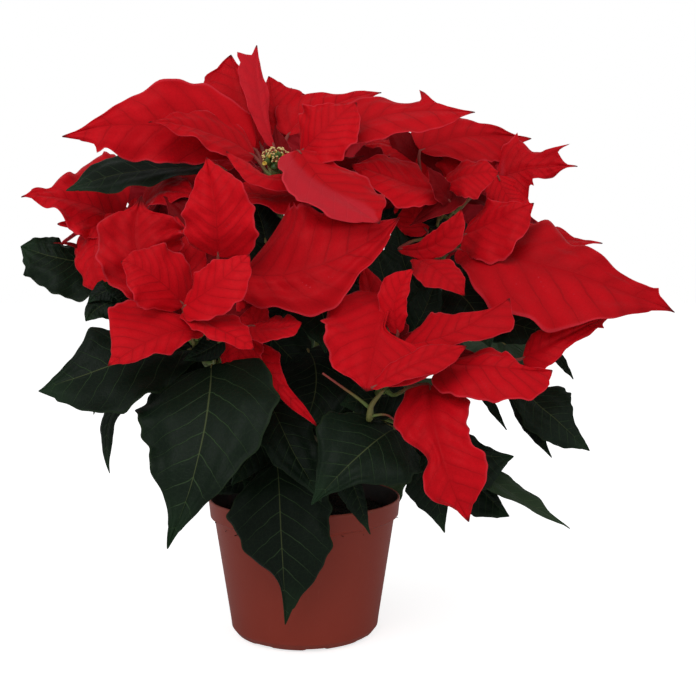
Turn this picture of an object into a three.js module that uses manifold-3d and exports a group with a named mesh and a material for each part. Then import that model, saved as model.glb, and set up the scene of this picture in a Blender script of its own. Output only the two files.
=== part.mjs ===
// Poinsettia in a plastic nursery pot: shoots with red bract rosettes over dark green leaves.
// Millimetres, +Z up, origin at the middle of the pot's underside, front towards -Y.
import * as THREE from "three";
import { mergeVertices } from "three/addons/utils/BufferGeometryUtils.js";
import Module from "manifold-3d";

const wasm = await Module();
wasm.setup();

// Driving dimensions.
const pot = {
  rimRadius: 65, height: 94, wall: 1.6, bandHeight: 13, rimStep: 2.5,
  baseRadius: 50.7, baseHeight: 11, footRadius: 42, footHeight: 3, floor: 2.4,
  holes: 6, holeRadius: 4.5, holeRing: 27, notches: 8, notchWidth: 13, padRadius: 15, sides: 32,
};
const soil = { top: 83, mound: 2, sides: 24 };
const gap = 0.3;
const blade = { thickness: 0.8, steps: 6, youngSteps: 4, leastReach: 0.5, baseShare: 0.35 };
const stem = { radius: 5, foot: 53, top: 142, sides: 12, steps: 8 };
const shootForm = { radius: 2.6, sides: 7, steps: 10 };
const stalk = { radius: 1.1, sides: 5, steps: 4, knee: 5, rise: 0.05, run: 4 };
const flower = { domeRadius: 5, domeHeight: 3, budRadius: 2.6, budRing: 5, budStretch: 1.5 };

const paint = {
  pot: new THREE.MeshStandardMaterial({ color: 0x8a3327, roughness: 0.55, metalness: 0 }),
  soil: new THREE.MeshStandardMaterial({ color: 0x1b1512, roughness: 0.95, metalness: 0 }),
  stem: new THREE.MeshStandardMaterial({ color: 0x5d7040, roughness: 0.6, metalness: 0 }),
  bract: new THREE.MeshStandardMaterial({ color: 0xc3141f, roughness: 0.5, metalness: 0 }),
  leaf: new THREE.MeshStandardMaterial({ color: 0x1c3024, roughness: 0.45, metalness: 0 }),
  bud: new THREE.MeshStandardMaterial({ color: 0xa9b03a, roughness: 0.5, metalness: 0 }),
};

// Named outlines of a blade from base (0) to tip (1): rise and fall shape the two ends, and a lobe
// adds a pair of angular side points.
const outlines = {
  pointed: { rise: 0.6, fall: 1.2 },
  lobed: { rise: 0.6, fall: 1.2, lobeAt: 0.5, lobe: 0.35 },
  green: { rise: 0.5, fall: 1.0, lobeAt: 0.42, lobe: 0.12 },
};
const lobeSpread = 0.12;

// Centre lines of the shoots: where each leaves the main stem's axis, then up to the middle of its
// rosette. Shoot a carries on from the top of the main stem.
const shoots = {
  a: [[0, 0, 143.2], [-4, 8, 170], [-12, 4, 225], [-15, -32, 282], [-16, -48, 301]],
  b: [[0, 0, 132], [38, 20, 178], [72, 12, 238], [86, -5, 273], [89, -11, 286]],
  c: [[0, 0, 118], [-26, -30, 140], [-48, -66, 174], [-58, -88, 200], [-62, -100, 214]],
  d: [[0, 0, 122], [24, -28, 142], [44, -62, 166], [55, -86, 184], [60, -94, 192]],
  f: [[0, 0, 135], [-44, 16, 176], [-88, 12, 232], [-110, 0, 264], [-116, -5, 275]],
  g: [[0, 0, 126], [6, 30, 178], [14, 52, 240], [19, 60, 278], [20, 63, 292]],
  h: [[0, 0, 112], [-30, 26, 156], [-58, 48, 206], [-75, 58, 244], [-80, 62, 258]],
  i: [[0, 0, 108], [36, 26, 150], [74, 42, 200], [92, 50, 236], [97, 53, 250]],
};

// Each blade: name, shoot, place of its stalk along that shoot (0 to 1), base, middle, tip,
// direction its upper side faces, width, fold of its halves in degrees, and its outline: a name, or
// the half widths of its left and right side at seven even stations.
const bracts = [
  ["bract_a1", "a", 0.9, [-29, -38, 324], [-91, -60, 336], [-142, -75, 328], [-1, -9, 2], 56, 8,
    [[14, 20, 24, 25, 23, 17, 7], [25, 32, 32, 24, 14, 6, 2]]],
  ["bract_a3", "a", 0.93, [-26, -26, 327], [-37, -14, 357], [-48, 0, 390], [-2, -8, 3], 60, 8,
    [[15, 26, 36, 44, 49, 41, 18], [6, 10, 14, 14, 11, 8, 3]]],
  ["bract_a4", "a", 0.975, [-17, -40, 325], [-27, -36, 358], [-29, -22, 392], [3, -8, 1], 17, 8,
    [[5, 6, 8, 9, 10, 13, 3], [2, 3, 5, 8, 6, 4, 2]]],
  ["bract_a6", "a", 0.88, [1, -36, 323], [53, -46, 343], [108, -56, 345], [1, -7, 7], 43, 10,
    [[13, 20, 24, 22, 14, 10, 5], [12, 17, 19, 19, 19, 17, 9]]],
  ["bract_a7", "a", 0.95, [0, -50, 321], [16, -60, 335], [35, -54, 351], [-2, -8, 5], 50, 8,
    [[23, 25, 27, 25, 20, 14, 7], [14, 20, 23, 23, 22, 17, 10]]],
  ["bract_a8", "a", 0.92, [-1, -62, 321], [22, -86, 296], [48, -105, 275], [2, -6, 7], 53, 16,
    [[11, 18, 23, 24, 23, 20, 13], [20, 25, 28, 29, 26, 22, 13]]],
  ["bract_b1", "b", 0.9, [93, -26, 296], [66, -36, 305], [31, -44, 314], [-1, -7, 6], 46, 8,
    [[9, 17, 23, 26, 26, 20, 10], [7, 13, 17, 19, 20, 16, 8]]],
  ["bract_b8", "b", 0.86, [77, -12, 326], [115, 6, 338], [155, 18, 337], [0, -8, 5], 43, 8,
    [[22, 24, 20, 17, 10, 6, 2], [12, 17, 23, 24, 24, 19, 9]]],
  ["bract_b9", "b", 0.91, [131, -2, 308], [151, -8, 315], [179, -20, 315], [1, -9, 4], 55, 8,
    [[16, 21, 22, 15, 12, 14, 2], [38, 34, 21, 12, 11, 7, 3]]],
  ["bract_b10", "b", 0.94, [104, -32, 270], [122, -56, 280], [144, -62, 289], [-1, -8, 5], 47, 8,
    [[12, 17, 17, 14, 10, 7, 3], [17, 26, 30, 32, 28, 20, 11]]],
  ["bract_b11", "b", 0.74, [100, -36, 261], [158, -76, 249], [225, -86, 223], [1, -7, 6], 82, 10,
    [[21, 34, 33, 24, 17, 13, 8], [19, 42, 49, 49, 43, 28, 9]]],
  ["bract_b12", "b", 0.82, [130, -10, 277], [163, -22, 269], [193, -34, 265], [0, -5, 8], 33, 8,
    [[7, 12, 13, 12, 7, 4, 3], [12, 17, 20, 19, 16, 12, 6]]],
  ["bract_c1", "c", 0.93, [-46, -100, 256], [-47, -112, 284], [-52, -102, 313], [-1, -9, 2], 46, 8,
    [[17, 20, 19, 18, 14, 11, 5], [23, 26, 22, 19, 14, 8, 3]]],
  ["bract_c2", "c", 0.84, [-79, -88, 236], [-93, -97, 260], [-94, -88, 287], [1, -9, 3], 52, 12,
    [[19, 22, 25, 25, 24, 22, 17], [18, 23, 26, 27, 27, 27, 23]]],
  ["bract_c3", "c", 0.9, [-65, -108, 228], [-82, -122, 247], [-98, -123, 253], [-1, -8, 6], 43, 8,
    [[11, 17, 21, 20, 17, 12, 6], [18, 22, 22, 21, 18, 13, 7]]],
  ["bract_c4", "c", 0.82, [-53, -112, 215], [-77, -130, 211], [-102, -143, 196], [-2, -8, 5], 54, 6,
    [[7, 10, 12, 13, 12, 9, 5], [12, 21, 28, 34, 42, 31, 13]]],
  ["bract_c5", "c", 0.975, [-64, -118, 227], [-44, -132, 241], [-25, -130, 257], [1, -8, 5], 34, 8,
    [[9, 13, 14, 14, 12, 9, 5], [13, 17, 18, 20, 19, 15, 10]]],
  ["bract_c6", "c", 0.76, [-33, -84, 247], [12, -106, 249], [60, -92, 279], [0, -9, 4], 70, 8,
    [[46, 45, 43, 40, 36, 27, 12], [20, 20, 26, 30, 19, 13, 8]]],
  ["bract_d1", "d", 0.91, [55, -90, 233], [47, -116, 207], [40, -134, 181], [1, -8, 5], 82, 12,
    [[2, 2, 3, 51, 44, 34, 19], [24, 32, 33, 31, 28, 24, 19]]],
  ["bract_d3", "d", 0.975, [61, -100, 204], [91, -116, 214], [123, -108, 232], [-1, -7, 7], 27, 8,
    [[16, 21, 18, 14, 9, 4, 1], [4, 6, 9, 11, 13, 16, 19]]],
  ["bract_d4", "d", 0.88, [87, -104, 195], [115, -130, 193], [145, -126, 192], [0, -7, 7], 44, 8,
    [[10, 15, 16, 12, 7, 2, 1], [22, 28, 28, 24, 22, 19, 13]]],
  ["bract_d5", "d", 0.84, [135, -84, 195], [157, -93, 208], [188, -80, 221], [-1, -8, 6], 27, 8,
    [[12, 12, 10, 7, 5, 3, 2], [15, 15, 11, 8, 7, 6, 4]]],
  ["bract_d7", "d", 0.82, [77, -112, 182], [79, -146, 149], [96, -150, 111], [-1, -9, 2], 44, 10,
    [[24, 21, 19, 18, 24, 24, 12], [17, 23, 18, 6, 13, 16, 4]]],
  ["bract_f1", "f", 0.95, [-121, -16, 279], [-146, -30, 293], [-177, -42, 294], [-1, -7, 6], 75, 8,
    [[17, 26, 30, 28, 20, 13, 6], [38, 49, 42, 28, 18, 12, 7]]],
  ["bract_f2", "f", 0.88, [-129, -20, 284], [-130, -50, 255], [-119, -62, 231], [-4, -8, 2], 40, 8,
    [[14, 20, 23, 23, 20, 13, 6], [14, 19, 17, 13, 13, 10, 5]]],
  ["bract_g1", "g", 0.94, [4, 78, 306], [-38, 98, 328], [-82, 110, 320], [-2, 5, 8], 56, 10, "pointed"],
  ["bract_g2", "g", 0.9, [20, 86, 300], [22, 130, 308], [18, 172, 288], [0, 5, 8], 62, 10, "pointed"],
  ["bract_g3", "g", 0.92, [36, 76, 306], [76, 94, 328], [118, 102, 314], [2, 5, 8], 54, 10, "lobed"],
  ["bract_g4", "g", 0.975, [14, 54, 316], [4, 42, 348], [-10, 36, 374], [-1, 7, 5], 44, 10, "pointed"],
  ["bract_h1", "h", 0.94, [-96, 60, 270], [-138, 64, 283], [-180, 58, 264], [-4, 2, 8], 54, 10, "pointed"],
  ["bract_h2", "h", 0.88, [-86, 84, 256], [-104, 126, 264], [-118, 164, 246], [-2, 6, 8], 56, 10, "lobed"],
  ["bract_i1", "i", 0.94, [114, 50, 263], [158, 52, 276], [203, 44, 256], [4, 2, 8], 54, 10, "pointed"],
  ["bract_i2", "i", 0.88, [106, 74, 250], [130, 114, 256], [148, 152, 236], [2, 6, 8], 56, 10, "pointed"],
];

const leaves = [
  ["leaf_a1", "a", 0.82, [-56, -30, 315], [-108, -44, 309], [-145, -56, 297], [0, -6, 8], 42, 8,
    [[12, 16, 17, 19, 19, 16, 9], [12, 19, 23, 23, 20, 14, 6]]],
  ["leaf_c1", "c", 0.45, [-51, -97, 192], [-53, -137, 151], [-70, -147, 95], [-2, -9, 4], 81, 8,
    [[38, 42, 40, 30, 24, 13, 5], [34, 39, 40, 35, 27, 18, 5]]],
  ["leaf_m1", "main", 0.84, [-14, -72, 128], [-10, -86, 86], [-9, -80, 30], [0, -9, 3], 63, 8,
    [[26, 30, 28, 29, 27, 18, 7], [19, 33, 35, 27, 21, 4, 1]]],
  ["leaf_d1", "d", 0.5, [57, -96, 154], [36, -126, 144], [9, -130, 116], [1, -8, 5], 61, 8,
    [[29, 30, 30, 25, 14, 9, 3], [12, 24, 31, 34, 27, 16, 7]]],
  ["leaf_m2", "main", 0.95, [-17, -84, 167], [-2, -102, 143], [14, -104, 112], [2, -8, 5], 34, 8,
    [[14, 18, 18, 16, 14, 10, 5], [12, 15, 16, 15, 12, 7, 3]]],
  ["leaf_c2", "c", 0.64, [-65, -76, 200], [-106, -106, 193], [-148, -116, 179], [-1, -8, 6], 63, 10,
    [[16, 26, 29, 35, 37, 30, 15], [14, 23, 29, 28, 19, 11, 4]]],
  ["leaf_d2", "d", 0.62, [79, -86, 142], [104, -98, 139], [128, -98, 138], [0, -9, 4], 38, 8,
    [[10, 14, 14, 11, 6, 4, 2], [9, 15, 24, 26, 22, 16, 5]]],
  ["leaf_d3", "d", 0.38, [99, -84, 132], [130, -102, 115], [160, -108, 97], [3, -2, 9], 30, 10, "green"],
  ["leaf_b1", "b", 0.46, [139, -66, 173], [155, -84, 158], [176, -84, 139], [2, -8, 5], 39, 8,
    [[19, 22, 19, 13, 9, 6, 3], [14, 17, 19, 18, 16, 11, 5]]],
  ["leaf_f1", "f", 0.72, [-136, -12, 253], [-156, -30, 256], [-181, -32, 263], [-2, -8, 5], 45, 8,
    [[26, 30, 30, 28, 22, 17, 11], [16, 15, 14, 14, 15, 14, 10]]],
  ["leaf_g1", "g", 0.5, [4, 98, 216], [0, 138, 194], [-6, 164, 146], [0, 8, 5], 70, 8, "green"],
  ["leaf_h1", "h", 0.6, [-98, 70, 200], [-138, 92, 180], [-166, 98, 136], [-6, 4, 6], 62, 8, "green"],
  ["leaf_i1", "i", 0.55, [118, 64, 196], [150, 96, 182], [172, 118, 152], [5, 6, 6], 62, 8, "green"],
  ["leaf_m3", "main", 0.76, [34, 78, 124], [52, 106, 90], [58, 116, 44], [2, 8, 4], 60, 8, "green"],
];

// Young bracts and leaves close to the stem grow on as one body with their shoot. They have no name.
const youngBracts = [
  ["a", 0.96, [-29, -48, 319], [-58, -64, 333], [-89, -80, 336], [-1, -7, 7], 40, 10, "pointed"],
  ["a", 0.945, [-9, -28, 334], [12, -12, 354], [52, 4, 366], [0, -6, 8], 43, 10,
    [[14, 24, 26, 19, 11, 9, 5], [8, 14, 17, 17, 14, 10, 6]]],
  ["a", 0.93, [0, -66, 308], [-21, -86, 303], [-43, -78, 319], [1, -5, 8], 20, -12,
    [[8, 10, 10, 9, 7, 5, 3], [9, 10, 10, 11, 13, 12, 7]]],
  ["a", 0.86, [11, -58, 296], [-15, -66, 294], [-47, -70, 299], [0, -5, 8], 44, 6,
    [[14, 20, 22, 22, 19, 14, 7], [14, 20, 22, 22, 19, 14, 7]]],
  ["b", 0.98, [92, -28, 302], [107, -40, 309], [125, -44, 309], [0, -8, 6], 31, 8,
    [[10, 13, 12, 12, 10, 9, 5], [7, 13, 17, 19, 19, 16, 9]]],
  ["b", 0.97, [105, -6, 298], [110, 2, 318], [113, 8, 339], [1, -8, 4], 43, 8,
    [[11, 18, 21, 21, 20, 16, 11], [13, 20, 22, 22, 20, 16, 9]]],
  ["b", 0.96, [82, -6, 306], [64, 4, 328], [40, 8, 331], [0, -5, 8], 36, 10, "pointed"],
  ["b", 0.85, [62, -38, 261], [84, -62, 265], [99, -68, 285], [-3, -8, 3], 20, 16,
    [[3, 5, 7, 8, 7, 6, 4], [4, 7, 10, 11, 13, 12, 8]]],
  ["b", 0.8, [71, -50, 255], [86, -80, 247], [99, -90, 233], [0, -7, 7], 28, 8,
    [[7, 11, 12, 12, 11, 9, 5], [6, 12, 14, 16, 13, 10, 5]]],
  ["d", 0.985, [59, -99, 211], [58, -102, 231], [68, -98, 249], [-2, -9, 1], 19, 20,
    [[5, 8, 9, 10, 11, 10, 5], [6, 9, 9, 8, 8, 6, 3]]],
  ["d", 0.96, [59, -84, 203], [47, -76, 226], [39, -68, 252], [3, -9, 2], 20, 10,
    [[5, 7, 9, 9, 8, 7, 4], [5, 8, 10, 11, 11, 9, 5]]],
  ["c", 0.93, [-65, -110, 224], [-41, -134, 216], [-22, -142, 205], [1, -6, 8], 24, 8,
    [[10, 12, 14, 14, 12, 10, 6], [7, 9, 10, 10, 8, 7, 4]]],
  ["c", 0.88, [-28, -92, 215], [-13, -104, 215], [3, -107, 218], [0, -6, 8], 26, 8,
    [[9, 12, 13, 13, 12, 11, 8], [9, 12, 13, 13, 13, 12, 9]]],
  ["c", 0.7, [-35, -86, 203], [-17, -104, 187], [12, -112, 158], [0, -8, 5], 17, 10,
    [[7, 9, 11, 9, 5, 4, 3], [5, 6, 6, 6, 4, 4, 3]]],
  ["f", 0.975, [-106, -18, 286], [-88, -38, 298], [-62, -50, 292], [0, -7, 6], 40, 10, "pointed"],
  ["g", 0.98, [34, 56, 308], [62, 42, 330], [92, 32, 337], [2, 3, 9], 40, 10, "pointed"],
  ["g", 0.96, [4, 58, 308], [-30, 54, 330], [-64, 50, 336], [-1, 4, 9], 42, 10, "pointed"],
  ["g", 0.985, [14, 78, 310], [-2, 100, 338], [-22, 122, 352], [-1, 7, 6], 42, 10, "pointed"],
  ["g", 0.97, [30, 74, 310], [46, 96, 338], [64, 114, 350], [1, 7, 6], 42, 10, "pointed"],
  ["h", 0.98, [-90, 46, 280], [-114, 32, 306], [-138, 18, 316], [-3, 2, 8], 44, 10, "pointed"],
  ["h", 0.96, [-66, 78, 270], [-56, 112, 292], [-42, 140, 300], [0, 6, 7], 46, 10, "pointed"],
  ["h", 0.97, [-66, 54, 272], [-46, 40, 294], [-24, 28, 302], [0, 2, 9], 40, 10, "pointed"],
  ["h", 0.84, [-98, 80, 254], [-132, 100, 250], [-162, 112, 226], [-3, 4, 8], 46, 10, "pointed"],
  ["i", 0.98, [104, 38, 275], [120, 26, 300], [138, 14, 311], [3, 2, 8], 42, 10, "pointed"],
  ["i", 0.96, [92, 70, 262], [84, 106, 282], [80, 138, 288], [0, 6, 7], 46, 10, "pointed"],
  ["i", 0.97, [84, 46, 268], [60, 42, 290], [36, 36, 298], [0, 2, 9], 40, 10, "pointed"],
  ["i", 0.84, [118, 66, 248], [156, 90, 246], [190, 104, 226], [3, 4, 8], 46, 10, "pointed"],
  ["a", 0.9, [-14, -20, 332], [-19, -8, 355], [-23, 0, 376], [1, -8, 3], 37, 8,
    [[9, 12, 14, 13, 10, 7, 3], [10, 17, 22, 24, 22, 18, 9]]],
  ["b", 0.88, [96, 6, 311], [84, 8, 330], [89, 10, 350], [1, -8, 4], 37, 8,
    [[14, 19, 19, 17, 14, 10, 6], [12, 16, 18, 18, 16, 11, 6]]],
  ["b", 0.78, [82, -14, 273], [71, -20, 284], [62, -24, 298], [-1, -8, 3], 26, 8,
    [[7, 11, 12, 12, 10, 8, 4], [9, 13, 14, 14, 12, 9, 4]]],
  ["f", 0.9, [-130, -14, 283], [-140, -30, 279], [-155, -40, 277], [-1, -8, 4], 31, 8,
    [[12, 17, 19, 16, 12, 7, 3], [7, 11, 12, 10, 7, 5, 2]]],
  ["a", 0.79, [-55, 0, 310], [-74, -14, 312], [-97, -24, 305], [0, -8, 4], 45, 8,
    [[14, 22, 25, 25, 20, 14, 7], [13, 19, 20, 18, 14, 9, 5]]],
  ["c", 0.94, [-35, -90, 215], [-34, -97, 204], [-37, -101, 192], [0, -7, 6], 28, 8,
    [[12, 14, 15, 16, 16, 14, 8], [11, 12, 12, 12, 11, 9, 6]]],
  ["c", 0.86, [-69, -78, 230], [-69, -76, 253], [-76, -66, 282], [0, -8, 3], 27, 8,
    [[8, 12, 13, 13, 11, 8, 4], [8, 12, 14, 14, 12, 8, 4]]],
  ["c", 0.9, [-21, -82, 207], [-28, -88, 223], [-36, -88, 240], [1, -8, 4], 21, 8,
    [[7, 10, 11, 11, 8, 6, 3], [6, 9, 10, 10, 9, 7, 3]]],
  ["b", 0.89, [129, -6, 310], [135, -12, 295], [145, -18, 284], [1, -9, 3], 28, 8,
    [[9, 12, 13, 12, 11, 8, 5], [10, 14, 15, 14, 11, 8, 4]]],
];

const youngLeaves = [
  ["a", 0.32, [4, -34, 196], [10, -60, 178], [2, -76, 150], [0, -9, 4], 64, 8, "green"],
  ["a", 0.6, [2, -44, 240], [14, -66, 226], [16, -80, 198], [0, -8, 5], 52, 8, "green"],
  ["b", 0.62, [92, -26, 236], [108, -50, 226], [118, -62, 200], [0, -8, 5], 50, 8, "green"],
  ["f", 0.6, [-112, 28, 206], [-138, 32, 188], [-150, 28, 150], [-5, 2, 6], 52, 8, "green"],
  ["h", 0.45, [-66, 92, 168], [-84, 130, 150], [-88, 150, 108], [-2, 7, 6], 56, 8, "green"],
  ["i", 0.42, [66, 88, 164], [82, 128, 146], [86, 150, 104], [2, 7, 6], 56, 8, "green"],
  ["b", 0.5, [134, 0, 200], [154, 8, 178], [164, 8, 146], [5, 1, 7], 46, 8, "green"],
  ["c", 0.6, [-22, -30, 228], [-24, -34, 259], [-22, -26, 289], [0, -9, 2], 33, 8,
    [[11, 15, 16, 16, 14, 11, 5], [11, 15, 17, 17, 15, 11, 6]]],
  ["c", 0.68, [-103, -62, 230], [-121, -66, 226], [-130, -74, 217], [-1, -8, 4], 23, 8,
    [[7, 11, 13, 12, 10, 8, 4], [5, 9, 10, 9, 7, 6, 3]]],
  ["c", 0.52, [-100, -72, 178], [-114, -84, 158], [-114, -88, 126], [-6, -6, 3], 17, 8,
    [[5, 7, 8, 7, 7, 5, 3], [6, 8, 9, 8, 7, 6, 3]]],
  ["c", 0.36, [-51, -40, 204], [-32, -56, 184], [-9, -60, 166], [1, -8, 5], 50, 8,
    [[15, 21, 24, 21, 17, 12, 5], [16, 23, 26, 23, 19, 13, 6]]],
  ["d", 0.62, [66, -40, 215], [55, -36, 240], [47, -26, 265], [1, -9, 2], 39, 8,
    [[14, 19, 20, 19, 17, 12, 6], [13, 18, 19, 18, 16, 12, 5]]],
  ["b", 0.66, [109, -30, 225], [134, -44, 215], [162, -50, 206], [0, -8, 4], 34, 8,
    [[9, 13, 16, 14, 12, 9, 4], [10, 15, 18, 16, 14, 10, 5]]],
  ["d", 0.3, [28, -84, 132], [35, -93, 113], [43, -98, 91], [-1, -9, 3], 15, 8,
    [[3, 5, 5, 5, 4, 3, 1], [6, 9, 10, 9, 7, 5, 2]]],
  ["d", 0.46, [79, -90, 139], [82, -98, 117], [87, -102, 93], [0, -9, 3], 28, 8,
    [[6, 9, 11, 11, 8, 5, 2], [9, 15, 17, 16, 12, 7, 3]]],
  ["d", 0.55, [93, -80, 134], [110, -86, 115], [127, -90, 100], [0, -9, 3], 24, 8,
    [[6, 8, 7, 5, 5, 4, 2], [9, 14, 17, 18, 16, 11, 6]]],
  ["c", 0.3, [-33, -24, 214], [-10, -34, 195], [11, -44, 170], [0, -8, 5], 41, 8,
    [[13, 19, 20, 19, 14, 10, 4], [15, 20, 21, 20, 15, 10, 5]]],
  ["d", 0.7, [79, -30, 225], [67, -26, 252], [61, -20, 278], [0, -9, 2], 29, 8,
    [[9, 13, 15, 14, 12, 9, 4], [9, 13, 14, 14, 12, 9, 4]]],
  ["d", 0.78, [67, -62, 205], [77, -62, 225], [86, -56, 247], [1, -9, 3], 21, 8,
    [[6, 9, 10, 10, 9, 7, 4], [7, 10, 11, 11, 9, 7, 4]]],
  ["d", 0.42, [67, -60, 171], [46, -74, 170], [25, -84, 167], [0, -8, 5], 33, 8,
    [[11, 16, 19, 17, 15, 11, 5], [10, 13, 14, 14, 12, 9, 4]]],
  ["c", 0.24, [-22, -44, 155], [-31, -58, 135], [-43, -66, 114], [-1, -9, 3], 30, 8,
    [[11, 16, 17, 16, 13, 9, 4], [9, 12, 13, 12, 9, 6, 3]]],
  ["b", 0.56, [131, -50, 171], [143, -66, 153], [155, -74, 133], [-4, -7, 4], 10, 8,
    [[2, 3, 4, 4, 4, 3, 1], [3, 5, 6, 6, 5, 4, 2]]],
  ["b", 0.52, [116, -40, 175], [121, -48, 163], [130, -54, 147], [-3, -8, 4], 8, 8,
    [[3, 4, 4, 3, 3, 2, 1], [3, 4, 4, 3, 3, 2, 1]]],
  ["b", 0.7, [158, -30, 199], [167, -38, 189], [174, -42, 178], [2, -8, 4], 8, 8,
    [[2, 4, 4, 4, 2, 2, 1], [3, 4, 4, 4, 3, 3, 1]]],
];

// Each rosette's cluster of small flowers: centre, the way it looks, number of buds.
const flowerClusters = {
  a: { centre: [-15, -58, 314], looks: [0, -0.5, 0.87], buds: 6 },
  b: { centre: [91, -17, 299], looks: [0.1, -0.45, 0.88], buds: 5 },
};

const vector = (list) => new THREE.Vector3(...list);

// A closed three.js geometry as a manifold-3d solid.
function solidFrom(geometry) {
  const bare = new THREE.BufferGeometry();
  bare.setAttribute("position", geometry.getAttribute("position"));
  if (geometry.index) bare.setIndex(geometry.index);
  const merged = mergeVertices(bare, 1e-4);
  return new wasm.Manifold(new wasm.Mesh({
    numProp: 3,
    vertProperties: merged.attributes.position.array,
    triVerts: new Uint32Array(merged.index.array),
  }));
}

function geometryFrom(solid) {
  const mesh = solid.getMesh();
  const geometry = new THREE.BufferGeometry();
  geometry.setAttribute("position", new THREE.BufferAttribute(mesh.vertProperties, 3));
  geometry.setIndex(new THREE.BufferAttribute(mesh.triVerts, 1));
  const flat = geometry.toNonIndexed();
  flat.computeVertexNormals();
  return flat;
}

const biggestBody = (solid) =>
  solid.decompose().reduce((best, body) => (body.volume() > best.volume() ? body : best));

// A round rod of even thickness along a curve through the points.
function rod(points, radius, sides, steps) {
  const ring = new THREE.Shape();
  for (let k = 0; k < sides; k++) {
    const turn = (2 * Math.PI * k) / sides;
    const x = radius * Math.cos(turn);
    const y = radius * Math.sin(turn);
    if (k === 0) ring.moveTo(x, y);
    else ring.lineTo(x, y);
  }
  const path = new THREE.CatmullRomCurve3(points);
  return solidFrom(new THREE.ExtrudeGeometry(ring, { steps, extrudePath: path, bevelEnabled: false }));
}

// How far a blade reaches to one side of its midrib (side -1 left, 1 right), along from 0 to 1.
function reachOf(outline, width, along, side) {
  let reach;
  if (Array.isArray(outline)) {
    const stations = outline[side < 0 ? 0 : 1];
    const marks = [blade.baseShare * stations[0], ...stations, 0];
    const at = Math.min(along * (marks.length - 1), marks.length - 1 - 1e-6);
    const below = Math.floor(at);
    reach = THREE.MathUtils.lerp(marks[below], marks[below + 1], at - below);
  } else {
    const { rise, fall, lobeAt, lobe = 0 } = outlines[outline];
    const peak = rise / (rise + fall);
    const u = Math.min(Math.max(along, 1e-6), 1 - 1e-6);
    let share = (u / peak) ** rise * ((1 - u) / (1 - peak)) ** fall;
    if (lobe) share += lobe * Math.max(0, 1 - Math.abs(u - lobeAt) / lobeSpread);
    reach = (share * width) / 2;
  }
  return Math.max(reach, blade.leastReach);
}

// A thin folded blade on a curved midrib, closed all round. extra thickens it on every side.
function bladeSolid({ base, middle, tip, facing, width, fold, outline, steps }, extra = 0) {
  const bend = middle.clone().multiplyScalar(2).sub(base.clone().add(tip).multiplyScalar(0.5));
  const midrib = new THREE.QuadraticBezierCurve3(base, bend, tip);
  const lift = THREE.MathUtils.degToRad(fold);
  const half = blade.thickness / 2 + extra;
  const corners = [];
  for (let row = 0; row <= steps; row++) {
    const along = row / steps;
    const ahead = midrib.getTangent(along);
    const up = facing.clone().addScaledVector(ahead, -facing.dot(ahead)).normalize();
    const side = ahead.clone().cross(up);
    const middlePoint = midrib.getPoint(along);
    if (row === 0) middlePoint.addScaledVector(ahead, -extra);
    if (row === steps) middlePoint.addScaledVector(ahead, extra);
    for (const share of [-1, 0, 1]) {
      const reach = Math.abs(share) * (reachOf(outline, width, along, share) + extra);
      const point = middlePoint.clone().addScaledVector(side, share * reach * Math.cos(lift));
      point.addScaledVector(up, reach * Math.sin(lift));
      corners.push(point.clone().addScaledVector(up, half), point.clone().addScaledVector(up, -half));
    }
  }
  const corner = (row, column, under) => 2 * (3 * row + column) + under;
  const faces = [];
  const quad = (a, b, c, d) => faces.push(a, b, c, a, c, d);
  for (let row = 0; row < steps; row++) {
    for (let column = 0; column < 2; column++) {
      quad(corner(row, column, 0), corner(row, column + 1, 0),
        corner(row + 1, column + 1, 0), corner(row + 1, column, 0));
      quad(corner(row, column, 1), corner(row + 1, column, 1),
        corner(row + 1, column + 1, 1), corner(row, column + 1, 1));
    }
    quad(corner(row, 0, 0), corner(row + 1, 0, 0), corner(row + 1, 0, 1), corner(row, 0, 1));
    quad(corner(row, 2, 0), corner(row, 2, 1), corner(row + 1, 2, 1), corner(row + 1, 2, 0));
  }
  for (let column = 0; column < 2; column++) {
    quad(corner(0, column, 0), corner(0, column, 1), corner(0, column + 1, 1), corner(0, column + 1, 0));
    quad(corner(steps, column, 0), corner(steps, column + 1, 0),
      corner(steps, column + 1, 1), corner(steps, column, 1));
  }
  const geometry = new THREE.BufferGeometry();
  geometry.setAttribute("position", new THREE.Float32BufferAttribute(corners.flatMap((p) => p.toArray()), 3));
  geometry.setIndex(faces);
  return solidFrom(geometry);
}

const mainStemPath = [[0, 0, stem.foot], [0, 0, (stem.foot + stem.top) / 2], [0, 0, stem.top]].map(vector);

// A side shoot starts just off the main stem's side and bends up after its first few millimetres.
function shootPath(name) {
  const [root, ...rest] = shoots[name].map(vector);
  const cluster = flowerClusters[name];
  if (cluster) {
    const looks = vector(cluster.looks).normalize();
    rest.push(vector(cluster.centre).addScaledVector(looks, -flower.domeHeight - gap));
  }
  if (name === "a") return [root, ...rest];
  const outward = rest[0].clone().setZ(0).normalize();
  const out = (distance) => root.clone().addScaledVector(outward, stem.radius + distance);
  return [out(gap + 0.2), out(2.5), out(8), ...rest];
}
const pathOf = (name) => (name === "main" ? mainStemPath : shootPath(name));
const curveOf = (name) => new THREE.CatmullRomCurve3(pathOf(name));
const radiusOf = (name) => (name === "main" ? stem.radius : shootForm.radius);

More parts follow.
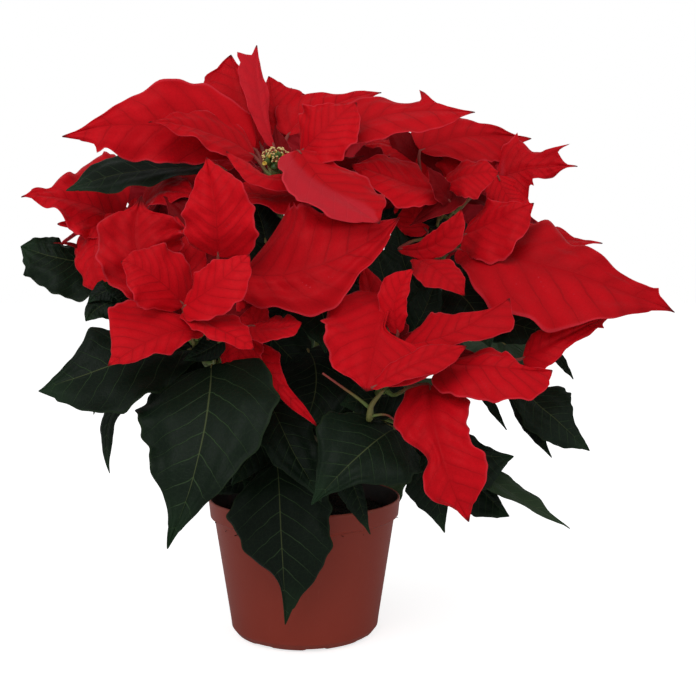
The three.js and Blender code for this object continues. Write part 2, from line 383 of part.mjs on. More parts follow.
// The stalk of a blade: from just off its shoot's side, or from inside the shoot when grown on.
function stalkPath(shoot, place, base, middle, grownOn) {
  const curve = curveOf(shoot);
  const axisPoint = curve.getPointAt(place);
  const axis = curve.getTangentAt(place);
  const outward = base.clone().sub(axisPoint);
  outward.addScaledVector(axis, -outward.dot(axis)).normalize();
  const clearance = grownOn ? 0 : radiusOf(shoot) + gap + 0.15;
  const start = axisPoint.clone().addScaledVector(outward, clearance);
  const knee = axisPoint.clone().addScaledVector(outward, radiusOf(shoot) + stalk.knee).add(axis);
  const end = base.clone().add(middle.clone().sub(base).setLength(stalk.run));
  const arch = knee.clone().lerp(base, 0.5);
  arch.z += stalk.rise * knee.distanceTo(base);
  return [start, knee, arch, base.clone(), end];
}

// The space a stalk keeps to itself: a wider rod with rounded ends.
function stalkRoom(path, clear) {
  const radius = stalk.radius + clear;
  const ends = [path[0], path.at(-1)].map((end) => new THREE.SphereGeometry(radius, 6, 4).translate(...end));
  return ends.reduce((room, end) => room.add(solidFrom(end)), rod(path, radius, stalk.sides, stalk.steps));
}

// A closed turned body round +Z from its profile of radius and height pairs.
function turnedSolid(profile, sides) {
  const turned = new THREE.LatheGeometry(profile.map(([r, z]) => new THREE.Vector2(r, z)), sides);
  return solidFrom(turned.rotateX(Math.PI / 2));
}

const potBodyTop = pot.rimRadius - pot.rimStep;
const potShoulder = pot.height - pot.bandHeight;

function potSolid() {
  const topInner = pot.rimRadius - pot.wall;
  const floorTop = pot.footHeight + pot.floor;
  let body = turnedSolid([
    [0, pot.footHeight], [pot.footRadius - 6, pot.footHeight], [pot.footRadius - 5, 0], [pot.footRadius, 0],
    [pot.footRadius + 5, 2], [pot.baseRadius - 0.6, 6], [pot.baseRadius, pot.baseHeight],
    [potBodyTop - 1.4, potShoulder - 1], [potBodyTop - 0.2, potShoulder],
    [potBodyTop + 1.4, potShoulder + 0.8], [pot.rimRadius, pot.height - 1],
    [pot.rimRadius - 0.5, pot.height], [topInner + 0.3, pot.height],
    [topInner, pot.height - 0.6], [potBodyTop - pot.wall, potShoulder + 0.5],
    [pot.baseRadius - pot.wall, pot.baseHeight + 0.5], [pot.footRadius + 3, floorTop + 1],
    [pot.footRadius - 3, floorTop], [0, floorTop],
  ], pot.sides);
  const cut = (geometry) => {
    body = body.subtract(solidFrom(geometry));
  };
  // Drain holes through the floor, and notches that lift the foot into short pads.
  for (let k = 0; k < pot.holes; k++) {
    const turn = (2 * Math.PI * (k + 0.5)) / pot.holes;
    const hole = new THREE.CylinderGeometry(pot.holeRadius, pot.holeRadius, 12, 10).rotateX(Math.PI / 2);
    hole.translate(pot.holeRing * Math.cos(turn), pot.holeRing * Math.sin(turn), pot.footHeight + 1);
    cut(hole);
  }
  for (let k = 0; k < pot.notches; k++) {
    const turn = (2 * Math.PI * (k + 0.25)) / pot.notches;
    const notch = new THREE.BoxGeometry(16, pot.notchWidth, 2 * pot.footHeight - 0.8);
    notch.translate(pot.footRadius + 1, 0, 0).rotateZ(turn);
    cut(notch);
  }
  // A flat disc in the middle stands level with the foot.
  const pad = new THREE.CylinderGeometry(pot.padRadius, pot.padRadius + 1, pot.footHeight + 0.5, 32);
  pad.rotateX(-Math.PI / 2).translate(0, 0, (pot.footHeight + 0.5) / 2);
  return body.add(solidFrom(pad));
}

function soilSolid() {
  const slope = (potBodyTop - pot.baseRadius) / (potShoulder - pot.baseHeight);
  const wallAt = (z) => pot.baseRadius + slope * (z - pot.baseHeight) - pot.wall - gap - 0.6;
  const bottom = pot.footHeight + pot.floor + gap;
  const body = turnedSolid([
    [0, bottom], [pot.footRadius - 4, bottom], [pot.footRadius + 1.5, bottom + 2], [wallAt(14), 14],
    [wallAt(70), 70], [wallAt(78), 78], [wallAt(78) - 6, soil.top - 1], [30, soil.top],
    [14, soil.top + 1.5], [0, soil.top + soil.mound],
  ], soil.sides);
  const socketPath = mainStemPath.map((point, k) => (k === 0 ? point.clone().setZ(point.z - gap) : point));
  return body.subtract(rod(socketPath, stem.radius + gap + 0.1, stem.sides, stem.steps));
}

function flowerSolid({ centre, looks, buds }, extra = 0) {
  const upright = new THREE.Vector3(0, 0, 1);
  const aim = new THREE.Quaternion().setFromUnitVectors(upright, vector(looks).normalize());
  const place = (geometry) => geometry.applyQuaternion(aim).translate(...centre);
  const dome = new THREE.SphereGeometry(flower.domeRadius + extra, 8, 6).rotateX(Math.PI / 2);
  let cluster = solidFrom(place(dome.scale(1, 1, flower.domeHeight / flower.domeRadius)));
  for (let k = 0; k < buds; k++) {
    const turn = (2 * Math.PI * k) / (buds - 1);
    const reach = k === buds - 1 ? 0 : flower.budRing;
    const bud = new THREE.SphereGeometry(flower.budRadius + extra, 6, 4).rotateX(Math.PI / 2);
    bud.scale(1, 1, flower.budStretch);
    bud.translate(reach * Math.cos(turn), reach * Math.sin(turn), flower.domeHeight);
    cluster = cluster.add(solidFrom(place(bud)));
  }
  return cluster;
}

const group = new THREE.Group();
function addPart(name, solid, material) {
  const mesh = new THREE.Mesh(geometryFrom(solid), material);
  mesh.name = name;
  group.add(mesh);
}

const meets = (a, b) => {
  const p = a.boundingBox();
  const q = b.boundingBox();
  return [0, 1, 2].every((k) => p.min[k] < q.max[k] && q.min[k] < p.max[k]);
};
const cutClear = (solid, others) =>
  others.filter((other) => meets(solid, other)).reduce((rest, other) => rest.subtract(other), solid);

addPart("pot", potSolid(), paint.pot);
addPart("potting_soil", soilSolid(), paint.soil);
addPart("main_stem", rod(mainStemPath, stem.radius, stem.sides, stem.steps), paint.stem);

// What every blade must stay clear of: shoots, flower clusters and the other blades' stalks.
const keepClear = gap + 0.1;
const shootNames = Object.keys(shoots);
const flowerRooms = Object.values(flowerClusters).map((cluster) => flowerSolid(cluster, keepClear));
const stemRooms = shootNames.map((name) => rod(shootPath(name), shootForm.radius + keepClear, 8, 12));
stemRooms.push(rod(mainStemPath, stem.radius + keepClear, stem.sides, stem.steps));

const bladeRows = [
  ...bracts.map((row) => ({ row, material: paint.bract })),
  ...leaves.map((row) => ({ row, material: paint.leaf })),
  ...[...youngBracts, ...youngLeaves].map((row) => ({ row: ["", ...row], grownOn: true })),
];
for (const item of bladeRows) {
  const [, shoot, place, base, middle, tip, facing, width, fold, outline] = item.row;
  item.shoot = shoot;
  item.form = {
    base: vector(base), middle: vector(middle), tip: vector(tip), facing: vector(facing).normalize(),
    width, fold, outline, steps: item.grownOn ? blade.youngSteps : blade.steps,
  };
  const path = stalkPath(shoot, place, item.form.base, item.form.middle, item.grownOn);
  item.stalk = rod(path, stalk.radius, stalk.sides, stalk.steps);
  item.stalkRoom = stalkRoom(path, keepClear);
}

// Where two stalks cross, the later one gives way. Stalks that grow on the same shoot may join.
const stalkOrder = bladeRows.toSorted((a, b) => (b.grownOn ? 1 : 0) - (a.grownOn ? 1 : 0));
stalkOrder.forEach((item, k) => {
  const mayJoin = (other) => item.grownOn && other.grownOn && item.shoot === other.shoot;
  const earlier = stalkOrder.slice(0, k).filter((other) => !mayJoin(other)).map((other) => other.stalkRoom);
  item.stalk = cutClear(item.stalk, [...flowerRooms, ...earlier]);
});

const placed = [];
const grown = Object.fromEntries(shootNames.map((name) => [name, []]));
for (const item of bladeRows) {
  const otherStalks = bladeRows.filter((other) => other !== item).map((other) => other.stalkRoom);
  const clear = cutClear(bladeSolid(item.form), [...stemRooms, ...flowerRooms, ...otherStalks, ...placed]);
  const whole = biggestBody(clear.add(item.stalk));
  placed.push(bladeSolid(item.form, keepClear));
  if (item.grownOn) grown[item.shoot].push(whole);
  else addPart(item.row[0], whole, item.material);
}

for (const name of shootNames) {
  const bare = rod(shootPath(name), shootForm.radius, shootForm.sides, shootForm.steps);
  const shoot = grown[name].reduce((rest, piece) => rest.add(piece), bare);
  addPart("shoot_" + name, biggestBody(shoot), paint.stem);
}
for (const [name, cluster] of Object.entries(flowerClusters)) {
  addPart("flowers_" + name, flowerSolid(cluster), paint.bud);
}

export default group;
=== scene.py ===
import math
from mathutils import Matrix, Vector
import bpy
import numpy as np


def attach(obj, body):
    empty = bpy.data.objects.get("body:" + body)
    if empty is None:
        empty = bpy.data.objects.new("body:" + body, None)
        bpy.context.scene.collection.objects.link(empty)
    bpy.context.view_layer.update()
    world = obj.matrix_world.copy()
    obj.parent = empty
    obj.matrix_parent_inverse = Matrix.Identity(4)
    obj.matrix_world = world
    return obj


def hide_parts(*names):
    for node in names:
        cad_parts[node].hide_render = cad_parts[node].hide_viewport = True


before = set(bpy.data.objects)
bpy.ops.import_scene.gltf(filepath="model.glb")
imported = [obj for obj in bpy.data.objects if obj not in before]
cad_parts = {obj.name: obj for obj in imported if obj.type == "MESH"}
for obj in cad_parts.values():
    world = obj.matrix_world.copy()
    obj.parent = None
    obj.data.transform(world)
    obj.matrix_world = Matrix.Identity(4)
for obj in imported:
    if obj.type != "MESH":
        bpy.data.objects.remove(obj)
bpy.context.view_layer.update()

mm = 0.001
fullTurn = 2 * math.pi
# random phases of waves: all round, or a little less
anyPhase, mostPhases = 6.28, 6
# first seed of each kind of piece; a letter or a number is added to it
seeds = {
    "bract": 100, "leaf": 300, "young": 500, "inner": 640, "shoot": 700, "main": 720, "heart": 760,
    "flowers": 800,
}


# small maths for the plant parts, in millimetres
def unit(v):
    v = np.asarray(v, float)
    return v / max(float(np.linalg.norm(v)), 1e-9)


def unitRows(v):
    return v / np.maximum(np.linalg.norm(v, axis=-1, keepdims=True), 1e-9)


def splineThrough(points, count, perSpan=40):
    # centripetal Catmull-Rom through the points, resampled to even steps
    p = [np.array(q, float) for q in points]
    p = [2 * p[0] - p[1]] + p + [2 * p[-1] - p[-2]]
    last = len(points) - 1
    fine = []
    for s in np.linspace(0, last, perSpan * last + 1):
        i = min(int(s), last - 1)
        w = s - i
        a, b, c, d = p[i:i + 4]
        ab, bc, cd = [max(float(np.linalg.norm(m - n)) ** 0.5, 1e-4) for m, n in ((a, b), (b, c), (c, d))]
        t1 = ((b - a) / ab - (c - a) / (ab + bc) + (c - b) / bc) * bc
        t2 = ((c - b) / bc - (d - b) / (bc + cd) + (d - c) / cd) * bc
        fine.append(b + t1 * w + (3 * (c - b) - 2 * t1 - t2) * w ** 2 + (2 * (b - c) + t1 + t2) * w ** 3)
    fine = np.array(fine)
    run = np.concatenate([[0], np.cumsum(np.linalg.norm(np.diff(fine, axis=0), axis=1))])
    even = np.linspace(0, run[-1], count)
    return np.stack([np.interp(even, run, fine[:, k]) for k in range(3)], 1)


def smoothStep(x, low, high):
    t = np.clip((np.asarray(x, float) - low) / (high - low), 0, 1)
    return t * t * (3 - 2 * t)


def addObject(name, data):
    made = bpy.data.objects.new(name, data)
    bpy.context.collection.objects.link(made)
    return made


class Shape:
    # vertices, faces and per-vertex values of one piece, gathered before it becomes a mesh
    def __init__(self):
        self.points, self.faces, self.kinds, self.uvs = [], [], [], []
        self.values = {}
        self.count = 0

    def add(self, points, faces, kind=0, uv=None, **values):
        points = np.asarray(points, float).reshape(-1, 3)
        self.points.append(points)
        self.faces += [tuple(int(i) + self.count for i in f) for f in faces]
        self.kinds += [kind] * len(faces)
        self.uvs.append(np.zeros((len(points), 2)) if uv is None else np.asarray(uv, float).reshape(-1, 2))
        for key in set(values) | set(self.values):
            column = self.values.setdefault(key, [np.zeros(self.count)] if self.count else [])
            column.append(np.broadcast_to(np.asarray(values.get(key, 0.0), float), len(points)).copy())
        self.count += len(points)

    def build(self, name, materials):
        mesh = bpy.data.meshes.new(name)
        points = np.vstack(self.points) * mm
        mesh.from_pydata(points.tolist(), [], self.faces)
        for material in materials:
            mesh.materials.append(material)
        mesh.polygons.foreach_set("material_index", self.kinds)
        mesh.polygons.foreach_set("use_smooth", [True] * len(self.faces))
        layer = mesh.uv_layers.new(name="vein")
        corners = np.zeros(len(mesh.loops), dtype=np.int32)
        mesh.loops.foreach_get("vertex_index", corners)
        layer.data.foreach_set("uv", np.vstack(self.uvs)[corners].astype(np.float32).ravel())
        for key, parts in self.values.items():
            attribute = mesh.attributes.new(key, "FLOAT", "POINT")
            attribute.data.foreach_set("value", np.concatenate(parts).astype(np.float32))
        mesh.update()
        return addObject(name, mesh)


def gridFaces(rows, columns, wrap=False, start=0, flip=False):
    faces = []
    across = columns if wrap else columns - 1
    for i in range(rows - 1):
        for j in range(across):
            a, b = i * columns + j, i * columns + (j + 1) % columns
            face = (a, b, b + columns, a + columns)
            faces.append(tuple(start + k for k in (face[::-1] if flip else face)))
    return faces


def cappedFaces(rows, sides):
    # rings of a round body and the fans that close it; the two end points come after the rings
    faces = gridFaces(rows, sides, wrap=True)
    first, last = rows * sides, rows * sides + 1
    for j in range(sides):
        faces.append((first, (j + 1) % sides, j))
        faces.append((last, (rows - 1) * sides + j, (rows - 1) * sides + (j + 1) % sides))
    return faces


def tube(path, radii, sides=8):
    # closed round tube along a path; radii may change along it
    path = np.asarray(path, float)
    ahead = unitRows(np.gradient(path, axis=0))
    side = unit(np.cross(ahead[0], (0.3, 0.2, 1.0)))
    turn = np.arange(sides) * fullTurn / sides
    rings = []
    for point, way, radius in zip(path, ahead, radii):
        side = unit(side - way * (side @ way))
        other = np.cross(way, side)
        rings.append(point + radius * (np.outer(np.cos(turn), side) + np.outer(np.sin(turn), other)))
    points = np.vstack(rings + [path[:1], path[-1:]])
    along = np.concatenate([np.repeat(np.linspace(0, 1, len(path)), sides), [0, 1]])
    return points, cappedFaces(len(path), sides), along


def turned(profile, segments, centre=(0, 0, 0), tilt=None):
    # closed surface of revolution round +Z; the profile starts and ends on the axis
    turn = np.arange(segments) * fullTurn / segments
    inner = np.asarray(profile[1:-1], float)
    rings = np.stack([np.outer(inner[:, 0], np.cos(turn)), np.outer(inner[:, 0], np.sin(turn)),
                      np.repeat(inner[:, 1:2], segments, 1)], 2)
    points = np.vstack([rings.reshape(-1, 3), [[0, 0, profile[0][1]], [0, 0, profile[-1][1]]]])
    if tilt is not None:
        points = points @ np.array(tilt).T
    return points + np.asarray(centre, float), cappedFaces(len(inner), segments)


def turnTo(direction):
    # rotation matrix that takes +Z to the direction
    z = unit(direction)
    x = unit(np.cross((0.0, 1.0, 0.0) if abs(z[1]) < 0.9 else (1.0, 0.0, 0.0), z))
    return np.stack([x, np.cross(z, x), z], 1)


# nodes for the finishes
def newGroup(name, inputs, outputs):
    tree = bpy.data.node_groups.new(name, "ShaderNodeTree")
    for label, value in inputs:
        socket = tree.interface.new_socket(label, in_out="INPUT", socket_type="NodeSocketFloat")
        socket.default_value = value
    for label in outputs:
        tree.interface.new_socket(label, in_out="OUTPUT", socket_type="NodeSocketFloat")
    return tree, tree.nodes.new("NodeGroupInput"), tree.nodes.new("NodeGroupOutput")


def setInput(tree, socket, value):
    # a plain number or colour is set, the output of another node is linked
    if isinstance(value, (int, float)):
        socket.default_value = value
    elif isinstance(value, (tuple, list)):
        socket.default_value = (*value[:3], 1)
    else:
        tree.links.new(value, socket)


def mathNode(tree, how, a, b=None, clamp=False):
    node = tree.nodes.new("ShaderNodeMath")
    node.operation = how
    node.use_clamp = clamp
    setInput(tree, node.inputs[0], a)
    if b is not None:
        setInput(tree, node.inputs[1], b)
    return node.outputs[0]


def times(tree, a, b):
    return mathNode(tree, "MULTIPLY", a, b)


def plus(tree, a, b, clamp=False):
    return mathNode(tree, "ADD", a, b, clamp)


def minus(tree, a, b):
    return mathNode(tree, "SUBTRACT", a, b)


def rampTo(tree, value, low, high, toLow=0.0, toHigh=1.0):
    node = tree.nodes.new("ShaderNodeMapRange")
    node.interpolation_type = "SMOOTHSTEP"
    tree.links.new(value, node.inputs["Value"])
    for label, number in (("From Min", low), ("From Max", high), ("To Min", toLow), ("To Max", toHigh)):
        setInput(tree, node.inputs[label], number)
    return node.outputs["Result"]


def mixColour(tree, share, first, second):
    node = tree.nodes.new("ShaderNodeMix")
    node.data_type = "RGBA"
    for socket, value in ((node.inputs[0], share), (node.inputs[6], first), (node.inputs[7], second)):
        setInput(tree, socket, value)
    return node.outputs[2]


def tinted(tree, colour, mask, most, other):
    # the colour moves towards the other one under the mask, at most by the given share
    return mixColour(tree, times(tree, mask, most), colour, other)


def objectPlace(tree):
    return tree.nodes.new("ShaderNodeTexCoord").outputs["Object"]


def noiseValue(tree, vector, scale, detail=2.0, rough=0.5):
    node = tree.nodes.new("ShaderNodeTexNoise")
    tree.links.new(vector, node.inputs["Vector"])
    for label, value in (("Scale", scale), ("Detail", detail), ("Roughness", rough)):
        setInput(tree, node.inputs[label], value)
    return node.outputs["Fac"]


def stretchedPlace(tree, where, along):
    # coordinates pulled out along Z, for wrinkles and scuffs that run up and down
    node = tree.nodes.new("ShaderNodeMapping")
    node.inputs["Scale"].default_value = (1.0, 1.0, along)
    tree.links.new(where, node.inputs["Vector"])
    return node.outputs[0]


def attributeValue(tree, name):
    node = tree.nodes.new("ShaderNodeAttribute")
    node.attribute_name = name
    return node.outputs["Fac"]


# lines of a blade: the piece's UV map holds the run of the side veins (x) and the place across (y)
veinLook = {
    "runs": 10, "wanderScale": 90, "wander": 0.28, "thinning": 1.15, "netWidth": 0.09,
    "pillowEdge": 0.45, "pillowFoot": 0.25,
}


def makeVeinGroup():
    look = veinLook
    inputs = (("Side Width", 0.06), ("Midrib Width", 0.03), ("Net Scale", 320.0))
    tree, into, out = newGroup("bladeVeins", inputs, ("Veins", "Side", "Midrib", "Net", "Pillow"))
    uv = tree.nodes.new("ShaderNodeUVMap")
    uv.uv_map = "vein"
    split = tree.nodes.new("ShaderNodeSeparateXYZ")
    tree.links.new(uv.outputs[0], split.inputs[0])
    where = objectPlace(tree)
    wander = times(tree, minus(tree, noiseValue(tree, where, look["wanderScale"]), 0.5), look["wander"])
    run = plus(tree, times(tree, split.outputs[0], look["runs"]), wander)
    across = mathNode(tree, "ABSOLUTE", minus(tree, times(tree, split.outputs[1], 2.0), 1.0))
    nearest = mathNode(tree, "ABSOLUTE", minus(tree, mathNode(tree, "FRACT", run), 0.5))
    distance = minus(tree, 0.5, nearest)
    thin = times(tree, into.outputs["Side Width"], minus(tree, look["thinning"], across))
    side = rampTo(tree, distance, 0.0, thin, 1.0, 0.0)
    midrib = rampTo(tree, across, 0.0, into.outputs["Midrib Width"], 1.0, 0.0)
    cells = tree.nodes.new("ShaderNodeTexVoronoi")
    cells.feature = "DISTANCE_TO_EDGE"
    tree.links.new(where, cells.inputs["Vector"])
    tree.links.new(into.outputs["Net Scale"], cells.inputs["Scale"])
    found = {
        "Veins": mathNode(tree, "MAXIMUM", side, midrib), "Side": side, "Midrib": midrib,
        "Net": rampTo(tree, cells.outputs["Distance"], 0.0, look["netWidth"], 1.0, 0.0),
        "Pillow": times(tree, rampTo(tree, distance, 0.0, look["pillowEdge"]),
                        rampTo(tree, across, 0.0, look["pillowFoot"])),
    }
    for label, value in found.items():
        tree.links.new(value, out.inputs[label])
    return tree


# slow and fine variation of a living or moulded surface, and specks of soil dust
speckLook = {"scale": 420, "detail": 3, "from": 0.66, "full": 0.74}


def makeMottleGroup():
    inputs = (("Broad Scale", 30.0), ("Fine Scale", 900.0))
    tree, into, out = newGroup("surfaceMottle", inputs, ("Broad", "Fine", "Specks"))
    where = objectPlace(tree)
    dots = noiseValue(tree, where, speckLook["scale"], speckLook["detail"])
    found = {
        "Broad": noiseValue(tree, where, into.outputs["Broad Scale"], 3.0),
        "Fine": noiseValue(tree, where, into.outputs["Fine Scale"], 2.0),
        "Specks": rampTo(tree, dots, speckLook["from"], speckLook["full"]),
    }
    for label, value in found.items():
        tree.links.new(value, out.inputs[label])
    return tree


veinGroup = makeVeinGroup()
mottleGroup = makeMottleGroup()


def newMaterial(name, roughness, specular=0.5, **fixed):
    material = bpy.data.materials.new(name)
    material.use_nodes = True
    tree = material.node_tree
    shader = tree.nodes["Principled BSDF"]
    shader.inputs["Roughness"].default_value = roughness
    shader.inputs["Specular IOR Level"].default_value = specular
    for label, value in fixed.items():
        shader.inputs[label.replace("_", " ")].default_value = value
    return material, tree, shader


def placeGroup(tree, group, **settings):
    node = tree.nodes.new("ShaderNodeGroup")
    node.node_tree = group
    for label, value in settings.items():
        node.inputs[label.replace("_", " ")].default_value = value
    return node.outputs


def mottleOf(tree, f):
    broad, fine = f["mottle"]
    return placeGroup(tree, mottleGroup, Broad_Scale=broad, Fine_Scale=fine)


def veinsOf(tree, f):
    side, midrib, net = f["veins"]
    return placeGroup(tree, veinGroup, Side_Width=side, Midrib_Width=midrib, Net_Scale=net)


def fineRoughness(tree, mottle, f):
    low, high = f["roughness"] - f["smoother"], f["roughness"] + f["rougher"]
    return rampTo(tree, mottle["Fine"], 0.3, 0.7, low, high)


def finishShader(tree, shader, colour, height, bump, rough):
    # bump: its strength and its depth in metres
    tree.links.new(colour, shader.inputs["Base Color"])
    node = tree.nodes.new("ShaderNodeBump")
    node.inputs["Strength"].default_value, node.inputs["Distance"].default_value = bump
    tree.links.new(height, node.inputs["Height"])
    tree.links.new(node.outputs[0], shader.inputs["Normal"])
    tree.links.new(rough, shader.inputs["Roughness"])


# colours of bracts and leaves, then how strongly each mark shows; a span says from where to where;
# veins: width of side veins and midrib and scale of the net; mottle: its broad and its fine scale
bractFinish = {
    "deep": (0.36, 0.001, 0.0045), "bright": (0.66, 0.0026, 0.0095), "vein": (0.25, 0.0008, 0.0035),
    "under": (0.5, 0.02, 0.034), "underVein": (0.6, 0.028, 0.046), "rimHighlight": (0.74, 0.04, 0.062),
    "tip": (0.035, 0.004, 0.004), "shade": (0.055, 0.0008, 0.002),
    "roughness": 0.56, "smoother": 0.06, "rougher": 0.1, "specular": 0.075,
    "veins": (0.1, 0.028, 260.0), "mottle": (24.0, 1300.0), "sheen": 0.07, "sheenRoughness": 0.45,
    "sheenTint": (1.0, 0.42, 0.46, 1.0),
    "broad": 0.8, "pillow": 0.22, "toneMiddle": 0.5, "tone": 0.7, "net": 0.1,
    "veinFade": (0.35, 0.68, 0.04, 0.5), "veinBelow": 0.5, "broadBelow": 0.3,
    "shadeSpan": (-0.8, 0.0, 0.85, 0.0), "rimSpan": (0.93, 1.0), "rimHighlightShare": 0.6,
    "tipSpan": (0.955, 0.995), "tipShare": 0.85,
    "veinDepth": 0.35, "netDepth": 0.1, "bump": (0.5, 0.0006),
}
leafFinish = {
    "deep": (0.002, 0.0055, 0.0028), "bright": (0.006, 0.014, 0.0068), "vein": (0.04, 0.075, 0.028),
    "midrib": (0.085, 0.105, 0.04), "under": (0.05, 0.09, 0.04), "underVein": (0.1, 0.15, 0.07),
    "rimHighlight": (0.02, 0.036, 0.014), "tip": (0.016, 0.04, 0.016),
    "roughness": 0.46, "smoother": 0.05, "rougher": 0.1, "dullBelow": 0.25, "specular": 0.105,
    "veins": (0.045, 0.02, 330.0), "mottle": (34.0, 1200.0),
    "broad": 0.7, "toneMiddle": 0.4, "tone": 0.9, "net": 0.07, "sideVein": 0.7, "midribShare": 0.75,
    "tipSpan": (0.72, 1.0), "tipShare": 0.6, "veinBelow": 0.8, "broadBelow": 0.5,
    "rimSpan": (0.94, 1.0), "rimHighlightShare": 0.6, "veinDepth": 0.5, "netDepth": 0.15, "bump": (0.6, 0.0006),
}
bladeBump = {"pillow": 0.45, "fine": 0.2}
bladeMarks = ("tone", "under", "edge", "along")


def bladeHeightMap(tree, veins, mottle, f):
    # pillows between sunken veins, with a fine grain
    grain = times(tree, mottle["Fine"], bladeBump["fine"])
    height = plus(tree, times(tree, veins["Pillow"], bladeBump["pillow"]), grain)
    height = minus(tree, height, times(tree, veins["Veins"], f["veinDepth"]))
    return minus(tree, height, times(tree, veins["Net"], f["netDepth"]))


def bladeUnderside(tree, veins, mottle, f):
    below = mixColour(tree, times(tree, veins["Veins"], f["veinBelow"]), f["under"], f["underVein"])
    return tinted(tree, below, mottle["Broad"], f["broadBelow"], f["bright"])


def makeBractMaterial():
    f = bractFinish
    sheen = {"Sheen_Weight": f["sheen"], "Sheen_Roughness": f["sheenRoughness"], "Sheen_Tint": f["sheenTint"]}
    material, tree, shader = newMaterial("bractVelvet", f["roughness"], f["specular"], **sheen)
    veins, mottle = veinsOf(tree, f), mottleOf(tree, f)
    tone, under, edge, along = [attributeValue(tree, key) for key in bladeMarks]
    # painted highlight: the raised pillows between the side veins are painted lighter
    light = plus(tree, times(tree, mottle["Broad"], f["broad"]), times(tree, veins["Pillow"], f["pillow"]))
    light = plus(tree, light, times(tree, minus(tree, tone, f["toneMiddle"]), f["tone"]), clamp=True)
    colour = mixColour(tree, light, f["deep"], f["bright"])
    # the fine net and the side veins are darker: partly the veins' own colour, partly painted shade in the
    # sunken creases
    colour = tinted(tree, colour, veins["Net"], f["net"], f["vein"])
    # the side veins show strongly in some places and fade in others
    colour = tinted(tree, colour, veins["Veins"], rampTo(tree, mottle["Broad"], *f["veinFade"]), f["vein"])
    colour = mixColour(tree, under, colour, bladeUnderside(tree, veins, mottle, f))
    # blades deep inside the plant get little light
    colour = mixColour(tree, rampTo(tree, tone, *f["shadeSpan"]), colour, f["shade"])
    # painted highlight: a lighter pink band along the rim
    colour = tinted(tree, colour, rampTo(tree, edge, *f["rimSpan"]), f["rimHighlightShare"], f["rimHighlight"])
    colour = tinted(tree, colour, rampTo(tree, along, *f["tipSpan"]), f["tipShare"], f["tip"])
    rough = fineRoughness(tree, mottle, f)
    finishShader(tree, shader, colour, bladeHeightMap(tree, veins, mottle, f), f["bump"], rough)
    return material


def makeLeafMaterial():
    f = leafFinish
    material, tree, shader = newMaterial("leafSatin", f["roughness"], f["specular"])
    veins, mottle = veinsOf(tree, f), mottleOf(tree, f)
    tone, under, edge, along = [attributeValue(tree, key) for key in bladeMarks]
    # inner leaves get a low tone, which paints them dark as painted shade
    light = plus(tree, times(tree, mottle["Broad"], f["broad"]),
                 times(tree, minus(tree, tone, f["toneMiddle"]), f["tone"]), clamp=True)
    colour = mixColour(tree, light, f["deep"], f["bright"])
    colour = tinted(tree, colour, veins["Net"], f["net"], f["vein"])
    colour = tinted(tree, colour, veins["Side"], f["sideVein"], f["vein"])
    colour = tinted(tree, colour, veins["Midrib"], f["midribShare"], f["midrib"])
    colour = tinted(tree, colour, rampTo(tree, along, *f["tipSpan"]), f["tipShare"], f["tip"])
    colour = mixColour(tree, under, colour, bladeUnderside(tree, veins, mottle, f))
    # painted highlight: a paler green band along the rim
    colour = tinted(tree, colour, rampTo(tree, edge, *f["rimSpan"]), f["rimHighlightShare"], f["rimHighlight"])
    rough = plus(tree, fineRoughness(tree, mottle, f), times(tree, under, f["dullBelow"]))
    finishShader(tree, shader, colour, bladeHeightMap(tree, veins, mottle, f), f["bump"], rough)
    return material


stemFinish = {
    "green": (0.15, 0.22, 0.055), "dark": (0.05, 0.075, 0.025), "pink": (0.3, 0.035, 0.035),
    "olive": (0.2, 0.16, 0.05), "bark": (0.115, 0.085, 0.05), "scar": (0.045, 0.03, 0.02),
    "specks": 0.5, "broad": 0.4, "scars": 0.75, "wrinkleScale": 700, "wrinkleLength": 0.12,
    "roughness": 0.5, "smoother": 0.08, "rougher": 0.1, "specular": 0.3, "bump": (0.4, 0.0004),
    "mottle": (60.0, 1500.0), "patchy": 0.3,
}


def makeStemMaterial(name, first, second, share, ribs=0.0):
    # share: where along the piece the second colour takes over; ribs: strength of the bark's long wrinkles
    f = stemFinish
    material, tree, shader = newMaterial(name, f["roughness"], f["specular"])
    mottle = mottleOf(tree, f)
    along, node = attributeValue(tree, "along"), attributeValue(tree, "node")
    place = plus(tree, along, times(tree, mottle["Broad"], f["patchy"]))
    colour = mixColour(tree, rampTo(tree, place, *share), f[first], f[second])
    colour = tinted(tree, colour, mottle["Specks"], f["specks"], f["bark"])
    colour = tinted(tree, colour, mottle["Broad"], f["broad"], f["dark"])
    colour = tinted(tree, colour, node, f["scars"], f["scar"])
    height = plus(tree, mottle["Fine"], mottle["Specks"])
    if ribs:
        upright = stretchedPlace(tree, objectPlace(tree), f["wrinkleLength"])
        wrinkles = noiseValue(tree, upright, f["wrinkleScale"])
        height = plus(tree, height, times(tree, wrinkles, ribs))
    finishShader(tree, shader, colour, height, f["bump"], fineRoughness(tree, mottle, f))
    return material


bractVelvet = makeBractMaterial()
leafSatin = makeLeafMaterial()
shootBark = makeStemMaterial("shootBark", "bark", "green", (0.1, 0.75), 1.5)
mainBark = makeStemMaterial("mainBark", "bark", "olive", (0.6, 1.4), 4.0)
bractStalk = makeStemMaterial("bractStalk", "green", "pink", (0.2, 0.9))
leafStalk = makeStemMaterial("leafStalk", "green", "olive", (0.3, 1.2))
print("leaf, bract and stem finishes ready")


